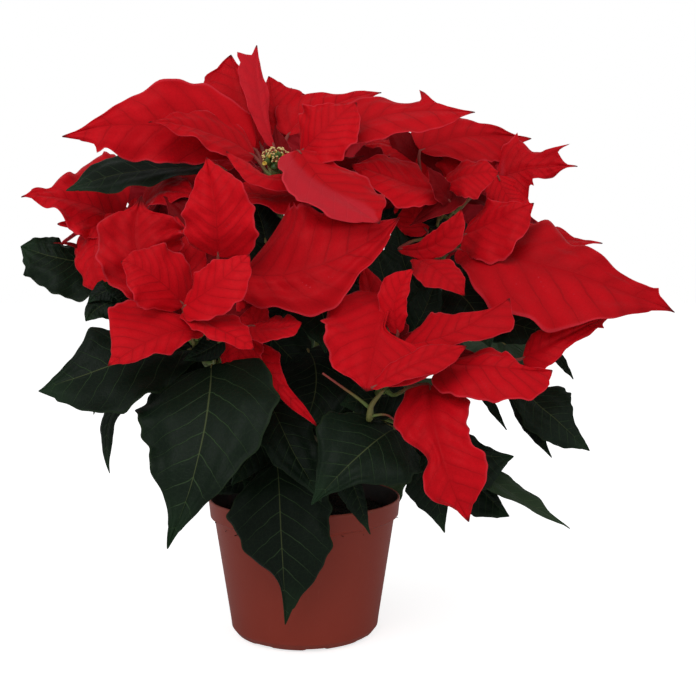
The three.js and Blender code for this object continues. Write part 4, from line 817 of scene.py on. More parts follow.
def stalkCurve(shoot, place, base, middle):
    # leaves the shoot at a right angle, then arches over to the blade's base
    s = stemShape
    curve = shootCurves[shoot]
    k = int(round(place * (len(curve) - 1)))
    axis = unit(curve[min(k + 1, len(curve) - 1)] - curve[k - 1])
    base, middle = np.array(base, float), np.array(middle, float)
    outward = base - curve[k]
    outward = unit(outward - axis * (outward @ axis))
    radius = s["mainRadius"] if shoot == "main" else s["shootRadius"]
    start = curve[k] + outward * (radius - s["stalkSunk"])
    knee = curve[k] + outward * (radius + s["knee"]) + axis
    arch = knee + (base - knee) * 0.5
    arch[2] += s["arch"] * float(np.linalg.norm(base - knee))
    end = base + unit(middle - base) * s["underBlade"]
    return splineThrough([start, knee, arch, base, end], s["stalkSteps"])


# rise and fall shape the two ends of a blade; a lobe adds side points
outlines = {
    "pointed": {"rise": 0.6, "fall": 1.2},
    "lobed": {"rise": 0.6, "fall": 1.2, "lobeAt": 0.5, "lobeReach": 0.12, "lobe": 0.35},
    "green": {"rise": 0.5, "fall": 1.0, "lobeAt": 0.42, "lobeReach": 0.12, "lobe": 0.12},
}

# touches of single blades: teeth (place, side, size, spread, lean forward), waves, height of the pillows
# between veins, dents, a drawn-out tip, a pale turned-over side (side, from, lean, share) and a pale foot
bladeTouches = {
    "bract_a1": {"teeth": [(0.8, -1, 5, 0.03, 0.6)]},
    "bract_a3": {"teeth": [(0.88, -1, 2.5, 0.03, 0.5), (0.7, 1, 4, 0.04, 0.8)],
                 "relief": 1.5, "crumple": 0.035},
    "bract_a4": {"teeth": [(0.84, -1, 8, 0.05, 0.6)], "pale": (1, -2, 0, 0.45)},
    "bract_a6": {"teeth": [(0.745, -1, 14, 0.045, -0.5), (0.3, -1, 2, 0.03, 0.5)], "relief": 0.7},
    "bract_a7": {"relief": 0.6},
    "bract_a8": {"pale": (1, -0.05, 1.0, 0.8), "relief": 0.5},
    "bract_b9": {"teeth": [(0.73, -1, 3.0, 0.06, 4.4), (0.36, -1, 4, 0.03, 0.6), (0.5, 1, 4, 0.03, 0.5)],
                 "wave": 0.14, "paleFoot": 0.8, "relief": 1.4},
    "bract_b11": {"teeth": [(0.9, -1, 3, 0.02, 0.5)]},
    "bract_b10": {"teeth": [(0.93, -1, 4, 0.03, 0.5)]},
    "bract_c1": {"relief": 1.9, "crumple": 0.025},
    "bract_c2": {"spur": 6.0, "wave": 0.13, "relief": 1.6, "crumple": 0.045},
    "bract_c4": {"relief": 0.5, "crumple": 0.01},
    "bract_c5": {"relief": 0.45, "crumple": 0.01},
    "bract_c6": {"teeth": [(0.085, -1, 10, 0.06, 0)], "relief": 1.6, "crumple": 0.035},
    "bract_d1": {"relief": 0.6},
    "bract_f1": {"teeth": [(0.3, 1, 4, 0.03, 0.5)]},
    "bract_d5": {"teeth": [(0.85, 1, 3, 0.03, 0.5)]},
    "bract_d7": {"relief": 1.7, "crumple": 0.03},
    "leaf_d3": {"pale": (1, -2, 0, 0.55)},
    "leaf_f1": {"teeth": [(0.8, -1, 4, 0.04, 0.5)], "wave": 0.1, "relief": 1.2, "crumple": 0.03},
}

# first what differs between bracts and leaves, then what all blades share
bladeForm = {
    "bract": {"relief": 1.15, "veins": 7.5, "slant": 0.85, "wave": 0.1, "droop": 0.14},
    "leaf": {"relief": 0.6, "veins": 8.5, "slant": 0.75, "wave": 0.07, "droop": 0.1},
    "rows": 70, "columns": 31, "smallRows": 40, "smallColumns": 19, "smallWidth": 34,
    "thick": 0.42, "thinRim": 0.55, "rib": 0.55, "ribWidth": 0.09, "twist": 5, "sway": 0.02, "lean": 0.07,
    "crowding": 0.45, "spurFrom": 0.96, "spurCurve": 1.5, "toothPoint": 1.3,
    "footWidth": 0.62, "tipWidth": 0.3, "roundFoot": 0.05,
    "nearby": (-0.05, -0.025, 0.025, 0.05), "ripples": ((0.035, 31), (0.02, 57)),
    "leastWidth": (0.25, 0.8), "drip": 0.05, "dripWidth": 0.8,
    "columnSpread": 0.9, "midribRound": (0.01, 0.1), "droopCurve": 2.2, "waveCurve": 2.6, "endFade": 0.6,
    "toothCurve": 4, "ribFade": 0.7, "veinShift": 0.05,
    # waves of the rim, long swells and dents: height, then how fast they run along and across
    "rimWaves": (2.4, 3.6), "swells": ((0.012, 5, 2.2), (0.008, 9, -3.1)), "dents": ((11, 5.3), (7, -6.1)),
    "crumple": 0.018, "dentFoot": 0.4, "veinBend": 0.12, "pillowRound": 0.55, "pillowFoot": 0.22,
    "fullRelief": 45, "groove": 0.35, "grooveWidth": 0.07, "tones": (0.25, 0.75),
    "paleBlend": 0.2, "paleFoot": (0.06, 0.24), "paleStreaks": (9, 40),
}
bladeMaterials = {"bract": [bractVelvet, bractStalk], "leaf": [leafSatin, leafStalk]}


def halfWidths(outline, width, u, side):
    if isinstance(outline, str):
        o = outlines[outline]
        peak = o["rise"] / (o["rise"] + o["fall"])
        x = np.clip(u, 1e-6, 1 - 1e-6)
        share = (x / peak) ** o["rise"] * ((1 - x) / (1 - peak)) ** o["fall"]
        if "lobe" in o:
            share = share + o["lobe"] * np.maximum(0, 1 - np.abs(x - o["lobeAt"]) / o["lobeReach"])
        return share * width / 2
    # given half widths at even stations, rounded off at the base and drawn out at the tip
    given = outline[(side + 1) // 2]
    marks = [bladeForm["footWidth"] * given[0], *given, bladeForm["tipWidth"]]
    stations = np.linspace(0, 1, len(marks))
    half = np.interp(u, stations, marks)
    soft = np.array([np.interp(np.clip(u + s, 0, 1), stations, marks) for s in bladeForm["nearby"]])
    each = 1 / (1 + len(soft))
    half = each * half + each * soft.sum(0)
    return half * np.clip(u / bladeForm["roundFoot"], 0.0, 1) ** 0.5


def toothRise(teeth, u, side):
    # how far each row's rim is pulled out, and how far it is pulled forward, by the teeth on one side
    out, forward = np.zeros(len(u)), np.zeros(len(u))
    for place, toothSide, size, spread, lean in teeth:
        if toothSide == side:
            rise = size * np.maximum(0, 1 - np.abs(u - place) / spread) ** bladeForm["toothPoint"]
            out += rise
            forward += lean * rise
    return out, forward


def bladeMidrib(row, rows, touch, rng):
    # rows crowd towards both ends, where the outline turns most
    base, middle, tip = [np.array(p, float) for p in row[3:6]]
    facing = unit(row[6])
    t = np.linspace(0, 1, rows + 1)
    crowding = bladeForm["crowding"]
    u = (1 - crowding) * t + crowding * (1 - np.cos(math.pi * t)) / 2
    bend = 2 * middle - (base + tip) / 2
    line = ((1 - u) ** 2)[:, None] * base + (2 * u * (1 - u))[:, None] * bend + (u ** 2)[:, None] * tip
    ahead = unitRows(2 * (1 - u)[:, None] * (bend - base) + 2 * u[:, None] * (tip - bend))
    up = unitRows(facing - (ahead @ facing)[:, None] * ahead)
    side = np.cross(ahead, up)
    spin = np.radians(rng.uniform(-bladeForm["twist"], bladeForm["twist"])) * u
    up, side = (up * np.cos(spin)[:, None] + side * np.sin(spin)[:, None],
                side * np.cos(spin)[:, None] - up * np.sin(spin)[:, None])
    length = float(np.linalg.norm(np.diff(line, axis=0), axis=1).sum())
    # a slow sideways sway, and at times a tip drawn out into a spur
    sway = rng.uniform(-bladeForm["sway"], bladeForm["sway"]) * length * np.sin(math.pi * u) ** 2
    line = line + side * sway[:, None]
    start = bladeForm["spurFrom"]
    spur = touch.get("spur", 0.0) * np.clip((u - start) / (1 - start), 0, 1) ** bladeForm["spurCurve"]
    return u, line + ahead * spur[:, None], ahead, side, up, length


def bladeRims(outline, width, u, rng):
    # half widths of the left and the right side, with small ripples and a narrow drip tip
    f = bladeForm
    lean = 1 + rng.uniform(-f["lean"], f["lean"])
    left = halfWidths(outline, width, u, -1) * lean
    right = halfWidths(outline, width, u, 1) * (2 - lean)
    ripple = 1
    for size, count in f["ripples"]:
        ripple = ripple + size * np.sin(u * count + rng.uniform(0, mostPhases))
    least, more = f["leastWidth"]
    near = u > 1 - 2 * f["drip"]
    rims = [np.maximum(h * ripple, least + more * (1 - u)) for h in (left, right)]
    for h in rims:
        drawn = (1 - u[near]) / (2 * f["drip"]) * h[~near][-1] * f["dripWidth"]
        h[near] = np.minimum(h[near], f["tipWidth"] + drawn)
    return rims


def bladeHeights(u, v, half, width, fold, length, form, touch, rng):
    # fold, droop, wavy rim, swells and dents, then the pillows between side veins that bend towards the tip
    f = bladeForm
    u, v = u[:, None], v[None, :]
    away = np.abs(v)
    softness, rest = f["midribRound"]
    rounded = np.sqrt(away ** 2 + softness) - rest
    height = half * rounded * math.sin(math.radians(fold))
    height = height - form["droop"] * half * away ** f["droopCurve"]
    wave = touch.get("wave", form["wave"]) * width
    turns = rng.uniform(*f["rimWaves"])
    phase = np.where(v < 0, rng.uniform(0, anyPhase), rng.uniform(0, anyPhase))
    fade = np.sin(math.pi * np.clip(u, 0, 1)) ** f["endFade"]
    height = height + wave * 0.5 * away ** f["waveCurve"] * np.sin(fullTurn * turns * u + phase) * fade
    slow = rng.uniform(0, anyPhase, 4)
    for (size, along, across), start in zip(f["swells"], slow[:2]):
        height = height + size * width * np.sin(along * u + across * v + start) * fade
    dents = 1
    for (along, across), start in zip(f["dents"], slow[2:]):
        dents = dents * np.sin(along * u + across * v + start)
    crumple = touch.get("crumple", f["crumple"]) * width
    height = height + crumple * dents * fade * (f["dentFoot"] + away)
    run = u - form["slant"] * half * away / length - f["veinBend"] * away ** 2 * (half / length)
    veinRun = form["veins"] * run + slow[2]
    pillow = np.abs(np.sin(math.pi * veinRun)) ** f["pillowRound"]
    pillow = pillow * np.clip(away / f["pillowFoot"], 0, 1) * (1 - away ** 3) * fade
    relief = touch.get("relief", form["relief"]) * min(1.0, width / f["fullRelief"])
    groove = f["groove"] * relief * np.exp(-(away / f["grooveWidth"]) ** 2)
    return height + relief * pillow - groove, veinRun


def bladeFaces(rows, columns):
    # upper and lower sheet and the rim between them
    n = rows * columns
    faces = gridFaces(rows, columns) + gridFaces(rows, columns, start=n, flip=True)
    for i in range(rows - 1):
        for j in (0, columns - 1):
            a, b = i * columns + j, (i + 1) * columns + j
            face = (a, b, b + n, a + n)
            faces.append(face if j == 0 else face[::-1])
    for j in range(columns - 1):
        for i in (0, rows - 1):
            a = i * columns + j
            face = (a, a + 1, a + 1 + n, a + n)
            faces.append(face[::-1] if i == 0 else face)
    return faces


def paleParts(touch, u, v):
    # where a side is turned over so that its lighter underside shows, and where the foot is pale
    f = bladeForm
    pale = np.zeros((len(u), len(v)))
    u, v = u[:, None], v[None, :]
    if "pale" in touch:
        side, start, lean, share = touch["pale"]
        pale = share * smoothStep(side * v + lean * (u - 0.5), start, start + f["paleBlend"])
    if "paleFoot" in touch:
        across, along = f["paleStreaks"]
        streaks = 0.5 + 0.5 * np.sin(across * v + along * u)
        pale = pale + touch["paleFoot"] * (1 - smoothStep(u, *f["paleFoot"])) * streaks
    return pale


def addBlade(shape, row, form, rng, touch):
    # a thin closed blade with a rounded midrib, raised pillows between its side veins and a wavy rim
    f = bladeForm
    width, fold, outline = row[7:]
    small = width < f["smallWidth"]
    rows, columns = (f["smallRows"], f["smallColumns"]) if small else (f["rows"], f["columns"])
    u, line, ahead, side, up, length = bladeMidrib(row, rows, touch, rng)
    v = np.linspace(-1, 1, columns)
    v = np.sign(v) * np.abs(v) ** f["columnSpread"]
    away = np.abs(v)[None, :]
    left, right = bladeRims(outline, width, u, rng)
    pulled = {way: toothRise(touch.get("teeth", []), u, way) for way in (-1, 1)}
    half = np.where(v[None, :] < 0, (left + pulled[-1][0])[:, None], (right + pulled[1][0])[:, None])
    forward = np.where(v[None, :] < 0, pulled[-1][1][:, None], pulled[1][1][:, None])
    height, veinRun = bladeHeights(u, v, half, width, fold, length, form, touch, rng)
    reach = half * v[None, :] * math.cos(math.radians(fold))
    points = line[:, None, :] + side[:, None, :] * reach[:, :, None] + up[:, None, :] * height[:, :, None]
    points = points + ahead[:, None, :] * (forward * away ** f["toothCurve"])[:, :, None]
    # surface normals of the sheet give the wall its two sides
    normal = unitRows(np.cross(np.gradient(points, axis=1), np.gradient(points, axis=0)))
    flip = np.sign(np.sum(normal * up[:, None, :], axis=2).mean())
    normal = normal * (1 if flip == 0 else flip)
    wall = f["thick"] / 2 * (1 - f["thinRim"] * away ** 2)[:, :, None] * np.ones((rows + 1, 1, 1))
    rib = f["rib"] * np.exp(-(away / f["ribWidth"]) ** 2) * (1 - u[:, None]) ** f["ribFade"]
    top = points + normal * wall
    bottom = points - normal * wall - normal * rib[:, :, None]
    across = np.broadcast_to(v[None, :] / 2 + 0.5, half.shape)
    veinUv = np.stack([veinRun / veinLook["runs"] + f["veinShift"], across], 2).reshape(-1, 2)
    under = np.concatenate([paleParts(touch, u, v).ravel(), np.ones(half.size)])
    # a set value paints inner blades dark as painted shade; otherwise the tone differs at random
    tone = touch["tone"] if "tone" in touch else rng.uniform(*f["tones"])
    shape.add(np.vstack([top.reshape(-1, 3), bottom.reshape(-1, 3)]), bladeFaces(rows + 1, columns), 0,
              np.vstack([veinUv] * 2), under=under, tone=tone,
              edge=np.tile(np.broadcast_to(away, half.shape).ravel(), 2),
              along=np.tile(np.repeat(u, columns), 2))


def addTube(shape, curve, radii, sides, kind):
    points, faces, along = tube(curve, radii, sides)
    shape.add(points, faces, kind, along=along, under=0.0, tone=0.5, edge=0.0)


def addStalk(shape, row):
    _, shoot, place, base, middle = row[:5]
    curve = stalkCurve(shoot, place, base, middle)
    swell = np.interp(np.linspace(0, 1, len(curve)), stemShape["swellAt"], stemShape["swell"])
    addTube(shape, curve, stemShape["stalkRadius"] * swell, 8, 1)


def makeBladePiece(name, rowsHere, kind, node, seed):
    # inner blades stand for no solid of their own and take no node
    rng = np.random.default_rng(seed)
    shape = Shape()
    for row in rowsHere:
        # a blade deep inside the bush is shaded; one with its own half widths stands outside
        shaded = {"tone": -0.5 if isinstance(row[-1], str) else 0.5}
        addBlade(shape, row, bladeForm[kind], rng, bladeTouches.get(node, {}) if node else shaded)
        addStalk(shape, row)
    piece = shape.build(name, bladeMaterials[kind])
    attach(piece, "root")
    if node:
        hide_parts(node)


for k, row in enumerate(bractRows):
    makeBladePiece(row[0] + "_blade", [row], "bract", row[0], seeds["bract"] + k)
for k, row in enumerate(leafRows):
    makeBladePiece(row[0] + "_blade", [row], "leaf", row[0], seeds["leaf"] + k)
for name in shootLines:
    for kind, youngRows in (("bract", youngBractRows), ("leaf", youngLeafRows)):
        mine = [("", *r) for r in youngRows if r[0] == name]
        if mine:
            seed = seeds["young"] + ord(name)
            makeBladePiece("young_%s_%s" % (kind, name), mine, kind, "shoot_" + name, seed)
for kind, usual in (("bract", (8, "pointed")), ("leaf", (8, "green"))):
    mine = [row if len(row) == 10 else row + usual for row in innerRows if row[0] == kind]
    makeBladePiece("inner_%s_blades" % kind, mine, kind, None, seeds["inner"])

# a short green side shoot in front of shoot d with two thin pink stalks: points, radii and material of each
sideShootParts = (
    (((44, -62, 166), (43, -92, 163), (42, -112, 163), (43, -114, 170), (50, -118, 180)),
     (1.9, 1.9, 2.3, 1.8, 0.9), 0),
    (((42, -112, 169), (35, -114, 175), (28, -114, 180), (15, -112, 189)), (1.2, 0.85, 0.7, 0.6), 1),
    (((42, -112, 164), (52, -114, 165), (58, -118, 161)), (1.0, 0.65, 0.6), 1),
)
sideShoot = Shape()
for places, radii, kind in sideShootParts:
    path = splineThrough(places, 30)
    thick = np.interp(np.linspace(0, 1, len(path)), np.linspace(0, 1, len(radii)), radii)
    addTube(sideShoot, path, thick, 10, kind)
piece = sideShoot.build("side_shoot", [leafStalk, bractStalk])
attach(piece, "root")
print("blades ready")


# shoots: green tubes that swell where a stalk leaves, each with a small bud in the angle
shootLook = {
    "taperAt": (0, 0.05, 0.25, 1), "taper": (1.45, 1.12, 1.02, 0.86), "sides": 12,
    "swell": 0.24, "swellSpan": 0.009, "waver": 0.02, "wavers": 60,
    "budsBelow": 0.82, "budOut": 2.2, "budUp": 1.2, "budLean": 0.6, "budLength": 3.4, "budRadius": 1.1,
    "budSides": 8, "budTone": 0.9,
    "bud": ((0, 0), (0.8, 0), (1, 0.25), (0.85, 0.55), (0.4, 0.85), (0, 1)),
}


def stalkPlaces(name):
    places = [row[2] for row in bractRows + leafRows if row[1] == name]
    return places + [row[1] for row in youngBractRows + youngLeafRows if row[0] == name]


def addBud(shape, foot, aim):
    scaled = [(r * shootLook["budRadius"], z * shootLook["budLength"]) for r, z in shootLook["bud"]]
    points, faces = turned(scaled, shootLook["budSides"], foot, turnTo(aim))
    shape.add(points, faces, 0, along=shootLook["budTone"], node=0.0)


def makeShoot(name):
    look = shootLook
    rng = np.random.default_rng(seeds["shoot"] + ord(name))
    curve = shootCurves[name][::2]
    if name != "a":
        curve = np.vstack([[shootLines[name][0]], curve])
    share = np.linspace(0, 1, len(curve))
    marks = np.zeros(len(curve))
    for place in stalkPlaces(name):
        marks = np.maximum(marks, np.exp(-((share - place) / look["swellSpan"]) ** 2))
    radii = stemShape["shootRadius"] * np.interp(share, look["taperAt"], look["taper"])
    waver = look["waver"] * np.sin(share * look["wavers"] + rng.uniform(0, mostPhases))
    points, faces, along = tube(curve, radii * (1 + look["swell"] * marks + waver), look["sides"])
    shape = Shape()
    shape.add(points, faces, 0, along=along, node=np.concatenate([np.repeat(marks, look["sides"]), [0, 0]]))
    for place in stalkPlaces(name):
        if place < look["budsBelow"]:
            k = int(place * (len(curve) - 1))
            way = unit(curve[k + 1] - curve[k - 1])
            out = unit(np.cross(way, rng.normal(size=3)))
            addBud(shape, curve[k] + out * look["budOut"] + way * look["budUp"], way + look["budLean"] * out)
    piece = shape.build("stem_" + name, [shootBark])
    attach(piece, "root")
    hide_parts("shoot_" + name)


# main stem: short, woody and ribbed, thicker where shoots fork off
# each of its waves: size, ribs round the stem, and how they twist
trunkLook = {
    "sides": 28, "rows": 90, "top": 146.0, "crown": 3.4,
    "taperAt": (0, 0.3, 0.85, 1), "taper": (1.1, 1.0, 0.92),
    "knots": 0.2, "knotSpan": 3.2, "knotScar": 0.7, "sideways": (0.5, 11), "forwards": (0.4, 14),
    "ribs": 0.045, "ribWaves": ((1, 5, 0.06), (0.6, 9, -0.11), (0.5, 2, 0.35)),
}


def makeMainStem():
    look = trunkLook
    rng = np.random.default_rng(seeds["main"])
    height = np.linspace(stemShape["mainFoot"], look["top"], look["rows"])
    share = np.linspace(0, 1, look["rows"])
    forks = [points[0][2] for points in shootLines.values()]
    knots = np.max([np.exp(-((height - z) / look["knotSpan"]) ** 2) for z in forks], axis=0)
    taper = [*look["taper"], look["crown"] / stemShape["mainRadius"]]
    radii = stemShape["mainRadius"] * np.interp(share, look["taperAt"], taper)
    radii = radii * (1 + look["knots"] * knots)
    (aside, asideRun), (ahead, aheadRun) = look["sideways"], look["forwards"]
    path = np.stack([aside * np.sin(height / asideRun), ahead * np.cos(height / aheadRun) - ahead, height], 1)
    points, faces, along = tube(path, radii, look["sides"])
    body = points[:-2].reshape(look["rows"], look["sides"], 3)
    turn = np.arange(look["sides"]) * fullTurn / look["sides"]
    waves = sum(size * np.sin(count * turn[None, :] + twist * height[:, None] + start)
                for (size, count, twist), start in zip(look["ribWaves"], rng.uniform(0, anyPhase, 3)))
    grown = path[:, None, :] + (body - path[:, None, :]) * (1 + look["ribs"] * waves)[:, :, None]
    points[:-2] = grown.reshape(-1, 3)
    scars = np.concatenate([np.repeat(look["knotScar"] * knots, look["sides"]), [0, 0]])
    shape = Shape()
    shape.add(points, faces, 0, along=along, node=scars)
    piece = shape.build("main_stem_bark", [mainBark])
    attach(piece, "root")
    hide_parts("main_stem")


for name in shootLines:
    makeShoot(name)
makeMainStem()
print("stems ready")


# small bracts close round each rosette's flowers: how many, their length, and where the first one points
heartBracts = {
    "b": (3, 13, 60), "c": (3, 12, 100), "d": (3, 11, 80),
    "f": (6, 26, 20), "g": (8, 30, 0), "h": (8, 28, 40), "i": (8, 28, 70),
}
# their form: steps round the rosette in degrees, spread of length, and out and up for the middle and the tip
heartForm = {
    "step": 137.5, "lengths": (0.75, 1.15), "shrink": 0.04, "sunk": 3, "ring": 4.5,
    "middle": (0.45, 0.38), "tip": (0.95, 0.55), "lean": 0.5, "leastWidth": 9.0, "slimness": 0.46, "fold": 12,
}


def makeHeartBracts(name):
    h = heartForm
    count, length, start = heartBracts[name]
    centre, looks = flowerPlaces[name]
    rng = np.random.default_rng(seeds["heart"] + ord(name))
    turnIn = turnTo(looks)
    rise = turnIn[:, 2]
    shape = Shape()
    for k in range(count):
        angle = math.radians(start + h["step"] * k)
        out = turnIn @ np.array([math.cos(angle), math.sin(angle), 0.0])
        long = length * rng.uniform(*h["lengths"]) * (1 - h["shrink"] * k)
        base = np.array(centre) - h["sunk"] * rise + h["ring"] * out
        middle, tip = [base + out * long * away + rise * long * up for away, up in (h["middle"], h["tip"])]
        width = max(h["leastWidth"], long * h["slimness"])
        row = ("", name, 1, base, middle, tip, rise - h["lean"] * out, width, h["fold"], "pointed")
        addBlade(shape, row, bladeForm["bract"], rng, {})
    piece = shape.build("heart_bracts_" + name, [bractVelvet])
    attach(piece, "root")


for name in heartBracts:
    makeHeartBracts(name)


# flowers: green cups with one yellow two-lipped nectar dish each, and a tuft of stamens; profiles as shares
flowerLook = {
    "cups": {"a": 8, "b": 5, "c": 3, "d": 3, "f": 7, "g": 8, "h": 7, "i": 7},
    "cupRadius": 1.95, "cupHeight": 6.0, "sizes": (0.85, 1.12), "ribs": 0.07, "segments": 20,
    "cup": ((0, -2.6), (0.42, -2.6), (0.45, -0.4), (0.62, 0.0), (0.9, 0.22), (1.0, 0.45), (0.97, 0.7),
            (0.8, 0.9), (0.74, 1.0), (0.6, 0.98), (0.55, 0.86), (0, 0.84)),
    "dishRadius": 1.35, "dishStretch": 1.5, "dishDroop": 0.16, "dishUp": 0.66, "dishOut": 0.75,
    "dishTilt": (0.75, 0.65),
    "dish": ((0, -0.75), (0.55, -0.62), (0.92, -0.2), (1.0, 0.25), (0.9, 0.42), (0.72, 0.3), (0.5, -0.1),
             (0, -0.22)),
    "ribCount": 5, "dishSides": 16, "seedSides": 12, "seedLobeCount": 3, "footSides": 20, "footTone": 0.15,
    "seedShare": 0.35, "seedLobes": 0.16, "seedLean": 0.5, "seedUp": 0.95,
    "seed": ((0, 0), (0.9, 0.3), (1.25, 1.1), (0.95, 1.9), (0, 2.2)),
    "footRadius": 4.6, "footWidest": 1.35,
    "foot": ((0, -3.4), (1.0, -3.4), (1.35, -2.2), (1.15, -0.6), (0.7, 0.6), (0, 0.9)),
    # the cups stand in two rings: share of the ring's radius, lean outwards and rise of each
    "ring": 4.5, "innerCups": 3, "innerRing": (0.36, 0.18, 1.6), "outerRing": (1.0, 0.5, -0.4),
    "innerTurn": 2.1, "innerStart": 0.6, "unevenRing": (0.9, 1.1), "unevenAim": 0.1, "unevenDish": 0.7,
    "stamens": 9, "stamenFoot": 0.88, "stamenSpread": 0.75, "stamenRing": 0.9,
}


stamenSizes = {"Length": 2.6, "Thickness": 0.22, "Sac Size": 0.48}
stamenSpread = {"apart": 0.75, "smallest": 0.6, "largest": 1.15, "sides": 5, "point": 0.0001}


def lobed(points, size, count):
    # rounded ribs or lobes round the axis
    turn = np.arctan2(points[:, 1], points[:, 0])
    points[:, :2] *= (1 + size * np.cos(count * turn))[:, None]
    return points


def addCup(shape, place, aim, dishWay, rng):
    # a five-ribbed cup, its oval nectar dish and, at times, the green seed head above it
    look = flowerLook
    size = rng.uniform(*look["sizes"])
    radius, height = look["cupRadius"] * size, look["cupHeight"] * size
    profile = [(r * radius, z * (height if z > 0 else 1)) for r, z in look["cup"]]
    points, faces = turned(profile, look["segments"])
    points = lobed(points, look["ribs"], look["ribCount"])
    shape.add(points @ turnTo(aim).T + place, faces, 0, along=np.clip(points[:, 2] / height, 0, 1), node=0.0)
    # the dish hangs on the cup's outer side with its mouth up and outwards
    out = unit(dishWay - aim * (dishWay @ aim))
    dish = look["dishRadius"]
    points, faces = turned([(r * dish, z * dish) for r, z in look["dish"]], look["dishSides"])
    points[:, 1] *= look["dishStretch"]
    points[:, 2] -= look["dishDroop"] * points[:, 1] ** 2
    up, away = look["dishTilt"]
    mouth = unit(up * aim + away * out)
    wide = unit(np.cross(mouth, out))
    dishFrame = np.stack([np.cross(wide, mouth), wide, mouth], 1)
    hung = points @ dishFrame.T + place + aim * height * look["dishUp"] + out * (radius + look["dishOut"])
    shape.add(hung, faces, 1, along=np.clip(points[:, 2] / dish + 0.5, 0, 1), node=0.0)
    if rng.uniform() < look["seedShare"]:
        points, faces = turned(look["seed"], look["seedSides"])
        points = lobed(points, look["seedLobes"], look["seedLobeCount"])
        lean = unit(aim + look["seedLean"] * rng.normal(size=3))
        grown = points @ turnTo(lean).T + place + aim * (height * look["seedUp"])
        shape.add(grown, faces, 0, along=0.5, node=0.0)
    return place + aim * height * look["stamenFoot"]


def newGeometryTree(name, first, sockets):
    tree = bpy.data.node_groups.new(name, "GeometryNodeTree")
    tree.interface.new_socket(first, in_out="INPUT", socket_type="NodeSocketGeometry")
    for label, kind, value in sockets:
        socket = tree.interface.new_socket(label, in_out="INPUT", socket_type="NodeSocket" + kind)
        socket.default_value = value
    tree.interface.new_socket("Geometry", in_out="OUTPUT", socket_type="NodeSocketGeometry")
    return tree, tree.nodes.new("NodeGroupInput").outputs


def placeNode(tree, kind, **inputs):
    # plain values are set, outputs of other nodes are linked
    made = tree.nodes.new(kind)
    for label, source in inputs.items():
        target = made.inputs[label.replace("_", " ")]
        if isinstance(source, (int, float, tuple, str)):
            target.default_value = source
        else:
            tree.links.new(source, target)
    return made


def namedValue(tree, name, kind):
    made = placeNode(tree, "GeometryNodeInputNamedAttribute", Name=name)
    made.data_type = kind
    return made.outputs[0]


def randomValue(tree, kind, seed, low, high):
    made = placeNode(tree, "FunctionNodeRandomValue", Seed=seed)
    made.data_type = kind
    first, result = (2, 1) if kind == "FLOAT" else (0, 0)
    made.inputs[first].default_value, made.inputs[first + 1].default_value = low, high
    return made.outputs[result]


def finishTree(tree, geometry, finish):
    paint = placeNode(tree, "GeometryNodeSetMaterial", Geometry=geometry)
    paint.inputs["Material"].default_value = finish
    tree.links.new(paint.outputs[0], tree.nodes.new("NodeGroupOutput").inputs[0])
    return tree


def makeStamenTree(finish):
    # points with a direction become filaments with a pair of pollen sacs
    sizes = [(label, "Float", value * mm) for label, value in stamenSizes.items()]
    tree, into = newGeometryTree("stamenTuft", "Points", [*sizes, ("Seed", "Int", 5)])

    def tagged(geometry, value):
        store = placeNode(tree, "GeometryNodeStoreNamedAttribute", Geometry=geometry, Name="tip", Value=value)
        store.data_type = "FLOAT"
        store.domain = "POINT"
        return store.outputs[0]

    filament = placeNode(tree, "GeometryNodeMeshCone", Vertices=stamenSpread["sides"],
                         Radius_Top=stamenSpread["point"], Radius_Bottom=into["Thickness"],
                         Depth=into["Length"])
    join = tree.nodes.new("GeometryNodeJoinGeometry")
    tree.links.new(tagged(filament.outputs["Mesh"], 0.0), join.inputs[0])
    for way in (-1, 1):
        sac = placeNode(tree, "GeometryNodeMeshIcoSphere", Radius=into["Sac Size"], Subdivisions=1)
        aside = times(tree, into["Sac Size"], stamenSpread["apart"] * way)
        spot = placeNode(tree, "ShaderNodeCombineXYZ", X=aside, Z=into["Length"])
        moved = placeNode(tree, "GeometryNodeTransform", Geometry=sac.outputs["Mesh"],
                          Translation=spot.outputs[0])
        tree.links.new(tagged(moved.outputs[0], 1.0), join.inputs[0])
    scale = randomValue(tree, "FLOAT", into["Seed"], stamenSpread["smallest"], stamenSpread["largest"])
    aim = namedValue(tree, "aim", "FLOAT_VECTOR")
    turnAll = placeNode(tree, "FunctionNodeAlignRotationToVector", Vector=aim)
    turnAll.axis = "Z"
    spread = placeNode(tree, "GeometryNodeInstanceOnPoints", Points=into["Points"], Instance=join.outputs[0],
                       Rotation=turnAll.outputs[0], Scale=scale)
    real = placeNode(tree, "GeometryNodeRealizeInstances", Geometry=spread.outputs[0])
    return finishTree(tree, real.outputs[0], finish)


def socketOf(tree, label):
    return next(item.identifier for item in tree.interface.items_tree
                if item.name == label and item.in_out == "INPUT")


def meshOf(carrier):
    # the mesh that the object's modifiers make
    graph = bpy.context.evaluated_depsgraph_get()
    return bpy.data.meshes.new_from_object(carrier.evaluated_get(graph), depsgraph=graph)


def bakeNodes(carrier, tree, name, **inputs):
    # runs a node tree on the carrier and keeps the result as a plain mesh
    modifier = carrier.modifiers.new("nodes", "NODES")
    modifier.node_group = tree
    for label, value in inputs.items():
        modifier[socketOf(tree, label.replace("_", " "))] = value
    mesh = meshOf(carrier)
    mesh.name = name
    bpy.data.objects.remove(carrier)
    return addObject(name, mesh)


